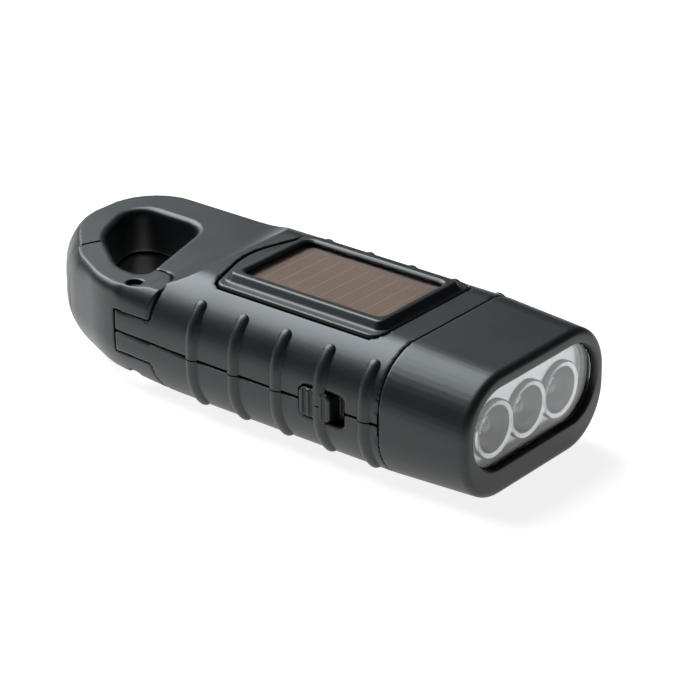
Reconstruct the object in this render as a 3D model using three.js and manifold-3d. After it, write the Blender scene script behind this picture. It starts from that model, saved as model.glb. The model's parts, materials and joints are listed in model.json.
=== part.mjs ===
// Hand crank flashlight with a carabiner loop at the tail, a solar panel on top and three LEDs in the head.
// Sizes are in millimetres. +X points to the head, +Y is the far side and +Z is up.
// The origin lies on the resting surface, below the middle of the length and width.

import * as THREE from 'three';
import { mergeVertices } from 'three/addons/utils/BufferGeometryUtils.js';
import Module from 'manifold-3d';

const wasm = await Module();
wasm.setup();

// Housing
const length = 130;
const bodyWidth = 50.4;
const bodyHeight = 29.6;
const edgeRadius = 12.4;
const wall = 2;
const seamGap = 0.3;
const fitGap = 0.3;
const overrun = 6;
const headLength = 21.8;
const spigotLength = 4;

// Tail with its carabiner loop
const tailLength = 43.5;
const tailHeight = 21.6;
const rampRun = 8;
const rimRadius = 1.4;

// Grip ribs
const ribCount = 5;
const ribPitch = 11.7;
const ribWidth = 3;
const ribHeight = 0.8;
const ribSetback = 3.6;
const ribReach = 12.6;

// Carabiner gate
const pivotFromTip = 37.8;
const pivotInset = 4.64;
const gateReach = 24.5;
const gateReachAngles = [120, 205];
const tongueReach = 8.1;
const tongueAngles = [-75, 118];
const knuckleRadius = 3;
const lugHeight = 9.8;
const lugRootSetback = 1.7;
const pinRadius = 1.5;
const pinRecess = 0.9;
const pinChamfer = 0.3;
const springWire = 0.5;
const springRadius = 2.25;
const springTurns = 3;
const springPitch = 1;
const springPocketHeight = 5;
const springPocketWall = 1.6;
const springLeg = 4.4;
const springSteps = 8;
const springWireSteps = 3;

// Solar panel
const panelLength = 43.9;
const panelSetback = 6.7;
const panelMargin = 8.5;
const panelBow = 5.4;
const panelCorner = 3;
const panelBowShare = 0.6;
const flangeTop = 29.5;
const flangeThickness = 2.2;
const flangeEdge = 0.5;
const flangeFrontRim = 1.8;
const flangeRearRim = 1.1;
const flangeSideRim = 3.5;
const frameTop = 31.2;
const frameChamfer = 1.2;
const frameEndLand = 1.9;
const frameSideLand = 2.3;
const windowLedge = 1.3;
const windowThickness = 0.8;
const windowDrop = 0.6;
const windowFlare = 0.6;
const cellThickness = 0.7;
const trayFloor = 1.6;
const panelGap = 0.4;

// Head
const headFrontWidth = 48.2;
const headFrontHeight = 26.2;
const headFrontRise = 0.6;
const headFrontRadius = 11.4;
const noseRadius = 1.8;
const noseSteps = 4;
const faceWall = 3;
const faceFlare = 0.4;
const faceWidth = 42;
const faceHeight = 18.6;
const faceCornerShare = 0.96;
const lensThickness = 1.2;
const lensRim = 1;
const ledCount = 3;
const ledPitch = 11.5;
const ledRadius = 2.5;
const ledDome = 5.6;
const ledFlangeRadius = 2.9;
const ledFlangeHeight = 1;
const cupMouthRadius = 5.2;
const reflectorDepth = 7.2;
const reflectorPlate = 1;
const cupWall = 0.7;
const boardThickness = 1.6;
const ledStandoff = 2.7;
const cupSteps = 3;
const domeSteps = 4;

// Slide switch
const switchSetback = 20.3;
const sliderLength = 8.3;
const sliderHeight = 6.4;
const sliderProud = 0.7;
const sliderCorner = 1.4;
const sliderTravel = 3.3;
const slotHeight = 7.2;
const stemHeight = 3;
const stemLength = 3;
const stemReach = 1.6;
const sliderFlangeThickness = 1;
const sliderFlangeRim = 1;
const gripGrooves = 4;
const gripGrooveDepth = 0.5;
const switchBodyLength = 11;
const switchBodyHeight = 5.6;
const switchBodyDepth = 4.6;

// Crank
const crankSetback = 33.2;
const wellRadius = 16.4;
const wellDepth = 9.8;
const wellCeiling = 1.5;
const crankRadius = 16;
const crankLift = 0.6;
const crankThickness = 8.8;
const shaftRadius = 3;
const shaftSquare = 4.2;
const knobHingeReach = 12;
const knobHingeHeight = 4.3;
const knobLength = 24.4;
const knobRadius = 3.5;
const knobTroughGap = 0.4;
const knobPostRadius = 1.6;
const knobEyeRadius = 2.4;
const knobEyeWidth = 3.4;
const knobPinRadius = 1;
const knobPinLength = 9.4;
const knobNeck = 6;
const knobCapLength = 1.6;
const knobCapStub = 0.8;
const pinGap = 0.2;
const knobRidges = 10;
const knobRidgeDepth = 0.35;
const thumbNotchRadius = 5;
const thumbNotchSetback = 1.5;
const crankScrewHead = 2.6;
const crankScrewHeadHeight = 1.3;
const crankScrewShank = 1;
const crankScrewLength = 7;

// Gear train
const gearModule = 0.8;
const pressureAngle = 25;
const backlash = 0.2;
const dedendumShare = 1.25;
const driveTeeth = 40;
const pinionTeeth = 12;
const wheelTeeth = 32;
const driveThickness = 2.8;
const pinionOverlap = 0.6;
const wheelThickness = 2.2;
const axleRadius = 1.2;
const axleGap = 0.25;
const gearGap = 0.6;
const rotorBearing = 154;
const gearPlateThickness = 1.2;
const gearPostRadius = 2.6;
const plateScrewHead = 2.1;
const plateScrewLength = 6.6;
const plateSideShare = 2.2;
const plateNoseShare = 1.5;

// Generator
const caseRadius = 10.3;
const caseWall = 0.5;
const caseHeight = 5.5;
const statorRadius = 9.4;
const statorBore = 6.6;
const statorPlate = 0.8;
const coilRadius = 9;
const coilBore = 6.9;
const coilHeight = 1.8;
const rotorRadius = 6;
const rotorHeight = 3.2;
const rotorShaftRadius = 0.9;

// Battery and circuit board
const cellRadius = 5.75;
const cellHeight = 4.9;
const cellEdge = 0.35;
const cellCapRadius = 4;
const cellCapHeight = 0.4;
const boardLength = 13.5;
const boardWidth = 24;
const chipLength = 6;
const chipWidth = 4;
const chipHeight = 1.8;
const capacitorRadius = 2.5;
const capacitorHeight = 1.9;

// Housing screws
const screwBossRadius = 3.3;
const screwRadius = 1.2;
const screwHeadRadius = 2.3;
const screwHeadHeight = 1.6;
const screwRecess = 2.4;
const screwSlot = 0.7;
const screwHeadEdge = 0.4;
const screwInset = 7.6;
const screwBite = 7;
const boreSpare = 1;
const screwFrontShare = 1.5;

// Fineness of the round forms
const roundness = 0.16;
const edgeShareForRounding = 0.98;
const edgeSteps = 4;
const innerEdgeSteps = 3;
const headCornerSteps = 7;
const smallSides = 10;
const roundSides = 18;
const largeSides = 40;

// Worked out from the sizes above
const halfLength = length / 2;
const halfWidth = bodyWidth / 2;
const parting = bodyHeight / 2;
const seamX = halfLength - headLength;
const tipX = -halfLength;
const rampX = tipX + tailLength;
const tailTop = parting + tailHeight / 2;
const tailBottom = parting - tailHeight / 2;
const far = length;
const panelWidth = bodyWidth - panelMargin * 2;
const frameLength = panelLength - flangeFrontRim - flangeRearRim;
const frameWidth = panelWidth - flangeSideRim * 2;
const windowLength = frameLength - frameEndLand * 2;
const windowWidth = frameWidth - frameSideLand * 2;

// The tail outline and the loop are drawn as shares of the tail length (from the tip) and of half the width.
// The third number is the corner radius as a share of half the width.
const tailOutlineShares = [
  [0, 1, 0.635],
  [0, -0.12, 0.79],
  [0.287, -0.643, 1.19],
  [0.713, -0.964, 1.19],
  [1.31, -1, 2.4],
];
const tailScrewShare = [0.8, 0.61];
// Where the gear plate's posts stand, from the crank's axis, as shares of the drive gear's clear radius.
const gearPostShares = [[-1, 0], [0.75, 0.9], [0.42, -0.9]];
const loopOutlineShares = [
  [0.69, 0.575, 0.34],
  [0.158, 0.575, 0.2],
  [0.17, 0.21, 0.56],
  [0.305, -0.255, 0.75],
  [0.666, -0.705, 0.5],
  [0.885, -0.69, 0.14],
];

const materials = {
  shell: plastic(0x2c2e30, 0.55),
  head: plastic(0x292b2c, 0.6),
  frame: plastic(0x25282b, 0.45),
  knob: plastic(0x303234, 0.5),
  gear: plastic(0xd9d6c8, 0.5),
  board: plastic(0x1f5a34, 0.5),
  chip: plastic(0x18181a, 0.4),
  cell: plastic(0x7d695d, 0.35),
  clear: seeThrough(0xe8edef, 0.05, 0.3),
  reflector: new THREE.MeshStandardMaterial({ color: 0xc9ccce, roughness: 0.15, metalness: 0.95 }),
  led: seeThrough(0xf2f3ee, 0.08, 0.6),
  steel: new THREE.MeshStandardMaterial({ color: 0xa9adb1, roughness: 0.35, metalness: 0.9 }),
  copper: new THREE.MeshStandardMaterial({ color: 0xb5683a, roughness: 0.4, metalness: 0.9 }),
};

function plastic(color, roughness) {
  return new THREE.MeshStandardMaterial({ color, roughness, metalness: 0 });
}

function seeThrough(color, roughness, opacity) {
  return new THREE.MeshStandardMaterial({ color, roughness, transparent: true, opacity });
}

// A closed geometry as a solid that can be joined and cut.
function solid(geometry) {
  const bare = geometry.clone();
  bare.deleteAttribute('normal');
  bare.deleteAttribute('uv');
  const merged = mergeVertices(bare);
  const vertProperties = Float32Array.from(merged.attributes.position.array);
  const triVerts = Uint32Array.from(merged.index.array);
  return new wasm.Manifold(new wasm.Mesh({ numProp: 3, vertProperties, triVerts }));
}

function geometryOf(body) {
  const mesh = body.getMesh();
  const geometry = new THREE.BufferGeometry();
  geometry.setAttribute('position', new THREE.BufferAttribute(mesh.vertProperties, 3));
  geometry.setIndex(new THREE.BufferAttribute(mesh.triVerts, 1));
  geometry.computeVertexNormals();
  return geometry;
}

function piece(parent, name, body, material, place = [0, 0, 0]) {
  const geometry = body.isBufferGeometry ? body : geometryOf(body);
  const mesh = new THREE.Mesh(geometry, material.clone());
  mesh.name = name;
  mesh.position.set(...place);
  parent.add(mesh);
  return mesh;
}

function groupAt(parent, x, y, z) {
  const group = new THREE.Group();
  group.position.set(x, y, z);
  parent.add(group);
  return group;
}

// How far each corner's rounding reaches along its edges, kept short enough that neighbours don't meet.
function cornerReach(corners) {
  const turns = corners.map(([x, y], i) => {
    const [lastX, lastY] = corners.at(i - 1);
    const [nextX, nextY] = corners[(i + 1) % corners.length];
    const into = new THREE.Vector2(x - lastX, y - lastY).normalize();
    const away = new THREE.Vector2(nextX - x, nextY - y);
    const edge = away.length();
    away.normalize();
    return { into, away, edge, turn: Math.atan2(into.cross(away), into.dot(away)) };
  });
  const wanted = turns.map(({ turn }, i) => corners[i][2] * Math.tan(Math.abs(turn) / 2));
  const fits = turns.map(({ edge }, i) => {
    const both = wanted[i] + wanted[(i + 1) % wanted.length];
    return Math.min(1, (edge * edgeShareForRounding) / both);
  });
  return turns.map((corner, i) => ({ ...corner, fit: Math.min(fits[i], fits.at(i - 1)) }));
}

// Chords enough to keep an arc within the stated roundness.
function arcSteps(radius, turn) {
  const step = 2 * Math.acos(Math.max(0, 1 - roundness / radius));
  return Math.max(1, Math.ceil(Math.abs(turn) / step));
}

// Points round a closed outline whose corners are rounded, each with its outward direction.
// Corners are [x, y, radius] and run anticlockwise.
function roundedOutline(corners, stepsPerCorner = 0) {
  const ring = [];
  cornerReach(corners).forEach(({ into, turn, fit }, i) => {
    const [x, y] = corners[i];
    const radius = corners[i][2] * fit;
    const side = Math.sign(turn);
    const setback = radius * Math.tan(Math.abs(turn) / 2);
    const outward = new THREE.Vector2(into.y, -into.x);
    const centreX = x - into.x * setback - outward.x * radius * side;
    const centreY = y - into.y * setback - outward.y * radius * side;
    const steps = stepsPerCorner || arcSteps(radius, turn);
    for (let k = 0; k <= steps; k++) {
      const normal = outward.clone().rotateAround(new THREE.Vector2(), (turn * k) / steps);
      const px = centreX + normal.x * radius * side;
      const py = centreY + normal.y * radius * side;
      ring.push({ x: px, y: py, normal });
    }
  });
  return ring;
}

function rectangle(x0, x1, y0, y1, radius) {
  return [[x1, y1, radius], [x0, y1, radius], [x0, y0, radius], [x1, y0, radius]];
}

function outlineShape(corners, offset = 0) {
  const points = roundedOutline(corners).map((p) => new THREE.Vector2(
    p.x + p.normal.x * offset,
    p.y + p.normal.y * offset,
  ));
  return new THREE.Shape(points);
}

// A solid skinned over rings of equal point count. Each ring runs anticlockwise seen from the last ring.
function skin(rings, flatten) {
  const count = rings[0].length;
  const positions = rings.flat().flatMap((p) => [p.x, p.y, p.z]);
  const index = [];
  for (let r = 0; r < rings.length - 1; r++) {
    for (let k = 0; k < count; k++) {
      const a = r * count + k;
      const b = r * count + ((k + 1) % count);
      index.push(a, b, b + count, a, b + count, a + count);
    }
  }
  const lid = (ring, first, reversed) => {
    const flat = ring.map(flatten);
    for (const [a, b, c] of THREE.ShapeUtils.triangulateShape(flat, [])) {
      const area = THREE.ShapeUtils.area([flat[a], flat[b], flat[c]]);
      const upright = area > 0 !== reversed;
      index.push(first + a, first + (upright ? b : c), first + (upright ? c : b));
    }
  };
  lid(rings[0], 0, true);
  lid(rings.at(-1), (rings.length - 1) * count, false);
  const geometry = new THREE.BufferGeometry();
  geometry.setAttribute('position', new THREE.Float32BufferAttribute(positions, 3));
  geometry.setIndex(index);
  return solid(geometry);
}

// Plan outline stacked up Z, each level given as [z, outward offset].
function stack(corners, levels) {
  const outline = roundedOutline(corners);
  const rings = levels.map(([z, offset]) => outline.map((p) => new THREE.Vector3(
    p.x + p.normal.x * offset,
    p.y + p.normal.y * offset,
    z,
  )));
  return skin(rings, (p) => new THREE.Vector2(p.x, p.y));
}

// Levels of a slab whose upper and lower edges are rounded, centred on the parting plane.
function softLevels(halfHeight, radius, offset = 0, steps = edgeSteps) {
  const levels = [];
  for (const side of [-1, 1]) {
    for (let k = 0; k <= steps; k++) {
      const angle = ((side < 0 ? steps - k : k) / steps) * Math.PI / 2;
      const z = parting + side * (halfHeight - radius + radius * Math.sin(angle));
      levels.push([z, offset - radius * (1 - Math.cos(angle))]);
    }
  }
  return levels;
}

function extrude(shape, z0, z1, curveSegments = smallSides) {
  const geometry = new THREE.ExtrudeGeometry(shape, { depth: z1 - z0, bevelEnabled: false, curveSegments });
  geometry.translate(0, 0, z0);
  return solid(geometry);
}

function block(x0, x1, y0, y1, z0, z1) {
  const geometry = new THREE.BoxGeometry(x1 - x0, y1 - y0, z1 - z0);
  geometry.translate((x0 + x1) / 2, (y0 + y1) / 2, (z0 + z1) / 2);
  return solid(geometry);
}

// An upright round bar.
function post(x, y, z0, z1, radius, sides = smallSides) {
  const geometry = new THREE.CylinderGeometry(radius, radius, z1 - z0, sides);
  geometry.rotateX(Math.PI / 2);
  geometry.translate(x, y, (z0 + z1) / 2);
  return solid(geometry);
}

// A solid turned about Z from [radius, height] points that start and end on the axis.
function turned(profile, sides = smallSides) {
  const geometry = new THREE.LatheGeometry(profile.map(([r, z]) => new THREE.Vector2(r, z)), sides);
  geometry.rotateX(Math.PI / 2);
  return solid(geometry);
}

function ringPost(z0, z1, outer, inner, sides = roundSides) {
  return post(0, 0, z0, z1, outer, sides).subtract(post(0, 0, z0 - overrun, z1 + overrun, inner, sides));
}

function joined(...bodies) {
  return bodies.reduce((sum, body) => sum.add(body));
}

function tailCorner([along, across, radius]) {
  return [tipX + along * tailLength, across * halfWidth, radius * halfWidth];
}

// Plan outline of the whole housing, run on past the head seam where it is cut off.
function housingOutline() {
  const front = seamX + headLength;
  return [
    [front, halfWidth, edgeRadius],
    ...tailOutlineShares.map(tailCorner),
    [front, -halfWidth, edgeRadius],
  ];
}

// Wedge above or below the tail that leaves it thinner than the body.
function tailRelief(side) {
  const shape = new THREE.Shape();
  const tailFace = parting + side * (tailHeight / 2);
  const bodyFace = parting + side * (bodyHeight / 2 + fitGap);
  const clear = parting + side * bodyHeight;
  shape.moveTo(tipX - overrun, tailFace);
  shape.lineTo(rampX, tailFace);
  shape.lineTo(rampX + rampRun, bodyFace);
  shape.lineTo(rampX + rampRun, clear);
  shape.lineTo(tipX - overrun, clear);
  shape.closePath();
  const geometry = new THREE.ExtrudeGeometry(shape, { depth: bodyWidth * 2, bevelEnabled: false });
  geometry.rotateX(Math.PI / 2);
  geometry.translate(0, bodyWidth, 0);
  return solid(geometry);
}

// The loop's opening, with its rims rounded over.
function loopCutter() {
  const levels = [];
  for (const side of [-1, 1]) {
    const face = side < 0 ? tailBottom : tailTop;
    const rim = [[face + side * overrun, 0]];
    for (let k = 0; k <= innerEdgeSteps; k++) {
      const angle = (k / innerEdgeSteps) * Math.PI / 2;
      rim.push([face - side * rimRadius * (1 - Math.cos(angle)), -rimRadius * Math.sin(angle)]);
    }
    levels.push(...(side < 0 ? rim : rim.reverse()));
  }
  return stack(loopOutlineShares.map(tailCorner), levels);
}

const wholeTube = stack(housingOutline(), softLevels(parting, edgeRadius));
const frontCut = block(seamX, far, -far, far, -far, far);

function ribXs() {
  const last = seamX - ribSetback;
  return Array.from({ length: ribCount }, (_, i) => last - (ribCount - 1 - i) * ribPitch);
}

// The raised ribs that wrap the sides, both sides at once.
function ribs() {
  const proud = stack(housingOutline(), softLevels(parting, edgeRadius, ribHeight));
  const bars = ribXs().map((x) => {
    const half = ribWidth / 2;
    const shape = outlineShape(rectangle(x - half, x + half, parting - ribReach, parting + ribReach, half));
    const bar = new THREE.ExtrudeGeometry(shape, { depth: bodyWidth * 2, bevelEnabled: false });
    bar.rotateX(Math.PI / 2);
    bar.translate(0, bodyWidth, 0);
    return solid(bar);
  });
  const middle = block(tipX, seamX, -halfWidth / 2, halfWidth / 2, -overrun, bodyHeight + overrun);
  return proud.intersect(joined(...bars)).subtract(middle);
}

const gateX = tipX + pivotFromTip;
const gateY = -halfWidth + pivotInset;

// Plan of the gate: bounded by two arcs about its pivot, so that it can swing inwards.
function gateRegion(gap) {
  const [tongueStart, tongueEnd] = tongueAngles.map(THREE.MathUtils.degToRad);
  const [noseStart, noseEnd] = gateReachAngles.map(THREE.MathUtils.degToRad);
  const shape = new THREE.Shape();
  shape.absarc(gateX, gateY, tongueReach + gap, tongueStart, tongueEnd, false);
  shape.absarc(gateX, gateY, gateReach + gap, noseStart, noseEnd, false);
  shape.closePath();
  return extrude(shape, -overrun, bodyHeight + overrun, roundSides);
}

// Plan of the lug that stands between the two gate tongues.
function lugRegion() {
  const root = gateX + lugRootSetback;
  const meet = Math.acos(lugRootSetback / knuckleRadius);
  const shape = new THREE.Shape();
  shape.moveTo(root + tongueReach, gateY - halfWidth);
  shape.lineTo(root + tongueReach, gateY + tongueReach * 2);
  shape.lineTo(root, gateY + tongueReach * 2);
  shape.lineTo(root, gateY + knuckleRadius * Math.sin(meet));
  shape.absarc(gateX, gateY, knuckleRadius, meet, Math.PI, false);
  shape.lineTo(gateX - knuckleRadius, gateY - halfWidth);
  shape.closePath();
  return extrude(shape, parting - lugHeight / 2, parting + lugHeight / 2);
}

function pinHole() {
  return post(gateX, gateY, -overrun, bodyHeight + overrun, pinRadius + fitGap);
}

// Room for the return spring between the two halves of the lug, closed off at the outer wall.
function springPocket() {
  const outer = -halfWidth + springPocketWall;
  const x0 = gateX - knuckleRadius - fitGap;
  const x1 = gateX + springRadius + springWire + springLeg;
  const z = springPocketHeight / 2;
  return block(x0, x1, outer, gateY + tongueReach * 2, parting - z, parting + z);
}

const tailRaw = wholeTube.subtract(frontCut).subtract(tailRelief(1)).subtract(tailRelief(-1))
  .subtract(loopCutter());

function screwPlaces() {
  const y = halfWidth - screwInset;
  const back = rampX + rampRun + screwBossRadius / 2;
  const front = seamX - screwBossRadius * screwFrontShare;
  return [[back, y], [back, -y], [front, y], [front, -y]];
}

const tailScrewX = tipX + tailLength * tailScrewShare[0];
const tailScrewY = halfWidth * tailScrewShare[1];

// Inside of the body, open at the front where the head goes on.
function cavity() {
  const back = rampX + wall;
  const side = halfWidth - wall;
  const radius = edgeRadius - wall;
  const levels = softLevels(parting - wall, radius, 0, innerEdgeSteps);
  return stack(rectangle(back, seamX + far, -side, side, radius), levels);
}

function panelCorners(offset) {
  const x1 = seamX - panelSetback + offset;
  const x0 = x1 - panelLength - offset * 2;
  const y = panelWidth / 2 + offset;
  const radius = panelCorner + offset;
  const bowRadius = panelWidth * panelBowShare;
  return [
    [x1, y, radius],
    [x0, y, radius],
    [x0 - panelBow, 0, bowRadius],
    [x0, -y, radius],
    [x1, -y, radius],
  ];
}

function panelTray() {
  const z = flangeTop - flangeThickness - fitGap;
  return stack(panelCorners(wall), [[z - trayFloor, 0], [bodyHeight - fitGap, 0]]);
}

function panelPocket() {
  const z = flangeTop - flangeThickness - fitGap;
  return stack(panelCorners(panelGap), [[z, 0], [bodyHeight + overrun, 0]]);
}

const crankX = seamX - crankSetback;
const wellTop = wellDepth + wellCeiling;
const crankTop = crankLift + crankThickness;

// The housing's outer form drawn in by an inset, between two places along its length.
function tubeInset(inset, x0, x1) {
  const form = stack(housingOutline(), softLevels(parting - inset, edgeRadius - inset, -inset));
  return form.intersect(block(x0, x1, -far, far, -far, far));
}

// Spigot that the head slides over, with a thicker root inside the housing.
function spigot() {
  const neck = tubeInset(wall + fitGap * 2, seamX - wall, seamX + spigotLength);
  const root = tubeInset(wall / 2, seamX - wall, seamX);
  return neck.add(root).subtract(tubeInset(wall * 2, seamX - wall * 2, far));
}

const sliderX = seamX - switchSetback;

// Slot for the switch knob, with rounded corners and long enough for its travel.
function switchSlot() {
  const x1 = sliderX + sliderLength + sliderTravel + fitGap;
  const z = slotHeight / 2;
  const outline = rectangle(sliderX - fitGap, x1, parting - z, parting + z, sliderCorner + fitGap);
  const slot = new THREE.ExtrudeGeometry(outlineShape(outline), { depth: halfWidth, bevelEnabled: false });
  slot.rotateX(Math.PI / 2);
  slot.translate(0, -halfWidth / 2, 0);
  return solid(slot);
}

function bossAt(x, y, z0, z1) {
  return post(x, y, z0, z1, screwBossRadius);
}

const gearLevel = wellTop + gearGap;
const driveTop = gearLevel + driveThickness;
const wheelLevel = driveTop + pinionOverlap;
const plateLevel = wheelLevel + wheelThickness + gearGap;
const plateTop = plateLevel + gearPlateThickness;
const drivePitch = (gearModule * driveTeeth) / 2;
const pinionPitch = (gearModule * pinionTeeth) / 2;
const wheelPitch = (gearModule * wheelTeeth) / 2;
const compoundX = crankX + drivePitch + pinionPitch;
const rotorAngle = THREE.MathUtils.degToRad(rotorBearing);
const rotorX = compoundX + (wheelPitch + pinionPitch) * Math.cos(rotorAngle);
const rotorY = (wheelPitch + pinionPitch) * Math.sin(rotorAngle);

// The posts that carry the gear plate stand just outside the drive gear.
function gearPosts() {
  const clear = drivePitch + gearModule + gearPostRadius + gearGap;
  return gearPostShares.map(([along, across]) => [crankX + clear * along, clear * across]);
}

// Upper and lower housing halves, cut from the same tube.
function housingHalves() {
  const ribbed = tailRaw.add(ribs());
  const lug = tailRaw.intersect(lugRegion());
  const hollow = ribbed.subtract(cavity());
  const body = hollow.subtract(gateRegion(fitGap)).add(lug).add(spigot())
    .subtract(pinHole()).subtract(springPocket()).subtract(switchSlot());
  const over = block(-far, far, -far, far, parting + seamGap / 2, far);
  const under = block(-far, far, -far, far, -far, parting - seamGap / 2);
  return { upper: body.intersect(over), lower: body.intersect(under) };
}

function upperShell(half) {
  let shell = half.add(panelTray().intersect(wholeTube)).subtract(panelPocket());
  const ceiling = flangeTop - flangeThickness - fitGap - trayFloor / 2;
  for (const [x, y] of screwPlaces()) {
    shell = shell.add(bossAt(x, y, parting + seamGap / 2, ceiling).intersect(wholeTube));
    shell = shell.subtract(post(x, y, -overrun, parting + screwBite + boreSpare, screwRadius + fitGap));
  }
  const tailBore = parting + screwBite + boreSpare;
  return shell.subtract(post(tailScrewX, tailScrewY, -overrun, tailBore, screwRadius + fitGap));
}

function lowerShell(half) {
  let shell = half.add(post(crankX, 0, wall, wellTop, wellRadius + wall, largeSides));
  for (const [x, y] of screwPlaces()) {
    shell = shell.add(bossAt(x, y, wall / 2, parting - seamGap / 2).intersect(wholeTube));
  }
  for (const [x, y] of gearPosts()) {
    shell = shell.add(post(x, y, wall, plateLevel - fitGap, gearPostRadius).intersect(wholeTube));
  }
  shell = shell.add(post(compoundX, 0, wall, gearLevel - gearGap / 2, gearPostRadius));
  for (const [x, y] of screwPlaces()) {
    shell = shell.subtract(screwBore(x, y, 0));
  }
  for (const [x, y] of gearPosts()) {
    shell = shell.subtract(post(x, y, wellTop, far, screwRadius + fitGap));
  }
  shell = shell.add(switchShelf());
  return shell.subtract(post(crankX, 0, -overrun, wellDepth, wellRadius, largeSides))
    .subtract(post(crankX, 0, 0, far, shaftRadius + fitGap))
    .subtract(post(compoundX, 0, wellTop / 2, far, axleRadius + axleGap))
    .subtract(screwBore(tailScrewX, tailScrewY, tailBottom));
}

function screwBore(x, y, face) {
  const bore = post(x, y, -overrun, far, screwRadius + fitGap);
  return bore.add(post(x, y, -overrun, face + screwRecess + screwHeadHeight, screwHeadRadius + fitGap));
}

// The gate is the near side of the tail, cut along the same two arcs, with a fork that straddles the lug.
function gateBody() {
  const forkX = gateX - knuckleRadius - fitGap;
  const forkZ = lugHeight / 2 + fitGap;
  const fork = block(forkX, far, -far, far, parting - forkZ, parting + forkZ);
  const legGroove = block(forkX - springLeg / 2, forkX + fitGap, gateY - springRadius - springWire * 2,
    gateY - springRadius + springWire, parting - springPocketHeight / 2, parting + springPocketHeight / 2);
  return tailRaw.intersect(gateRegion(0)).subtract(fork).subtract(legGroove).subtract(pinHole());
}

function gatePin() {
  const low = tailBottom + pinRecess;
  const high = tailTop - pinRecess;
  const profile = [
    [0, low],
    [pinRadius - pinChamfer, low],
    [pinRadius, low + pinChamfer],
    [pinRadius, high - pinChamfer],
    [pinRadius - pinChamfer, high],
    [0, high],
  ];
  return turned(profile);
}

// Torsion spring round the gate pin, with a leg at each end.
class SpringCurve extends THREE.Curve {
  getPoint(t, target = new THREE.Vector3()) {
    const angle = t * springTurns * 2 * Math.PI - Math.PI / 2;
    const x = springRadius * Math.cos(angle);
    const y = springRadius * Math.sin(angle);
    return target.set(x, y, (t - 0.5) * springTurns * springPitch);
  }
}

function gateSpring() {
  const curve = new SpringCurve();
  const wire = new THREE.Shape().absarc(0, 0, springWire / 2, 0, Math.PI * 2);
  const coil = new THREE.ExtrudeGeometry(wire, {
    steps: springTurns * springSteps,
    extrudePath: curve,
    bevelEnabled: false,
    curveSegments: springWireSteps,
  });
  const half = springWire / 2;
  const z = (springTurns * springPitch) / 2;
  const left = block(-springLeg, half, -springRadius - half, -springRadius + half, -z - half, -z + half);
  const right = block(-half, springLeg, -springRadius - half, -springRadius + half, z - half, z + half);
  return joined(solid(coil), left, right);
}

function frameOuter(offset) {
  const x1 = seamX - panelSetback - flangeFrontRim + offset;
  return rectangle(x1 - frameLength - offset * 2, x1, -frameWidth / 2 - offset, frameWidth / 2 + offset,
    frameChamfer + offset);
}

const windowX = seamX - panelSetback - flangeFrontRim - frameLength / 2;

function windowOuter(offset) {
  const half = windowLength / 2 + offset;
  return rectangle(windowX - half, windowX + half, -windowWidth / 2 - offset, windowWidth / 2 + offset,
    frameChamfer);
}

const panelSeat = flangeTop - flangeThickness;

// Base plate with a bowed rear edge and a raised, chamfered frame round the window.
function solarFrame() {
  const plate = stack(panelCorners(0), [
    [panelSeat, 0],
    [flangeTop - flangeEdge, 0],
    [flangeTop, -flangeEdge],
  ]);
  const rise = stack(frameOuter(0), [
    [panelSeat, frameChamfer],
    [flangeTop, frameChamfer],
    [frameTop, 0],
  ]);
  const opening = stack(windowOuter(0), [
    [panelSeat - overrun, 0],
    [frameTop - windowDrop, 0],
    [frameTop, windowFlare],
    [frameTop + overrun, windowFlare],
  ]);
  const ledge = stack(windowOuter(windowLedge), [
    [panelSeat - overrun, 0],
    [frameTop - windowDrop - fitGap, 0],
  ]);
  return plate.add(rise).subtract(opening).subtract(ledge);
}

function solarWindow() {
  const z = frameTop - windowDrop - fitGap * 2;
  return stack(windowOuter(windowLedge - fitGap), [[z - windowThickness, 0], [z, 0]]);
}

function solarCell() {
  const z = frameTop - windowDrop - fitGap * 3 - windowThickness;
  return stack(windowOuter(windowLedge - fitGap), [[z - cellThickness, 0], [z, 0]]);
}

// Cross-section of the head at x, drawn in by an inset.
function headSection(x, inset) {
  const along = (x - seamX) / headLength;
  const half = THREE.MathUtils.lerp(halfWidth, headFrontWidth / 2, along) - inset;
  const tall = THREE.MathUtils.lerp(bodyHeight / 2, headFrontHeight / 2, along) - inset;
  const radius = THREE.MathUtils.lerp(edgeRadius, headFrontRadius, along) - inset;
  const z = parting + headFrontRise * along;
  return roundedOutline(rectangle(-half, half, z - tall, z + tall, radius), headCornerSteps)
    .map((p) => new THREE.Vector3(x, p.x, p.y));
}

function headSkin(stations) {
  const rings = stations.map(([x, inset]) => headSection(x, inset));
  return skin(rings, (p) => new THREE.Vector2(p.y, p.z));
}

// A slab whose outline lies across the head, between two places along X.
function acrossHead(corners, x0, x1, offset0 = 0, offset1 = 0) {
  const ring = (x, offset) => roundedOutline(corners).map((p) => new THREE.Vector3(
    x,
    p.x + p.normal.x * offset,
    p.y + p.normal.y * offset,
  ));
  return skin([ring(x0, offset0), ring(x1, offset1)], (p) => new THREE.Vector2(p.y, p.z));
}

const faceZ = parting + headFrontRise;
const faceInner = halfLength - faceWall;

function faceOutline(offset) {
  const half = faceWidth / 2 + offset;
  const tall = faceHeight / 2 + offset;
  return rectangle(-half, half, faceZ - tall, faceZ + tall, tall * faceCornerShare);
}

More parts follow.
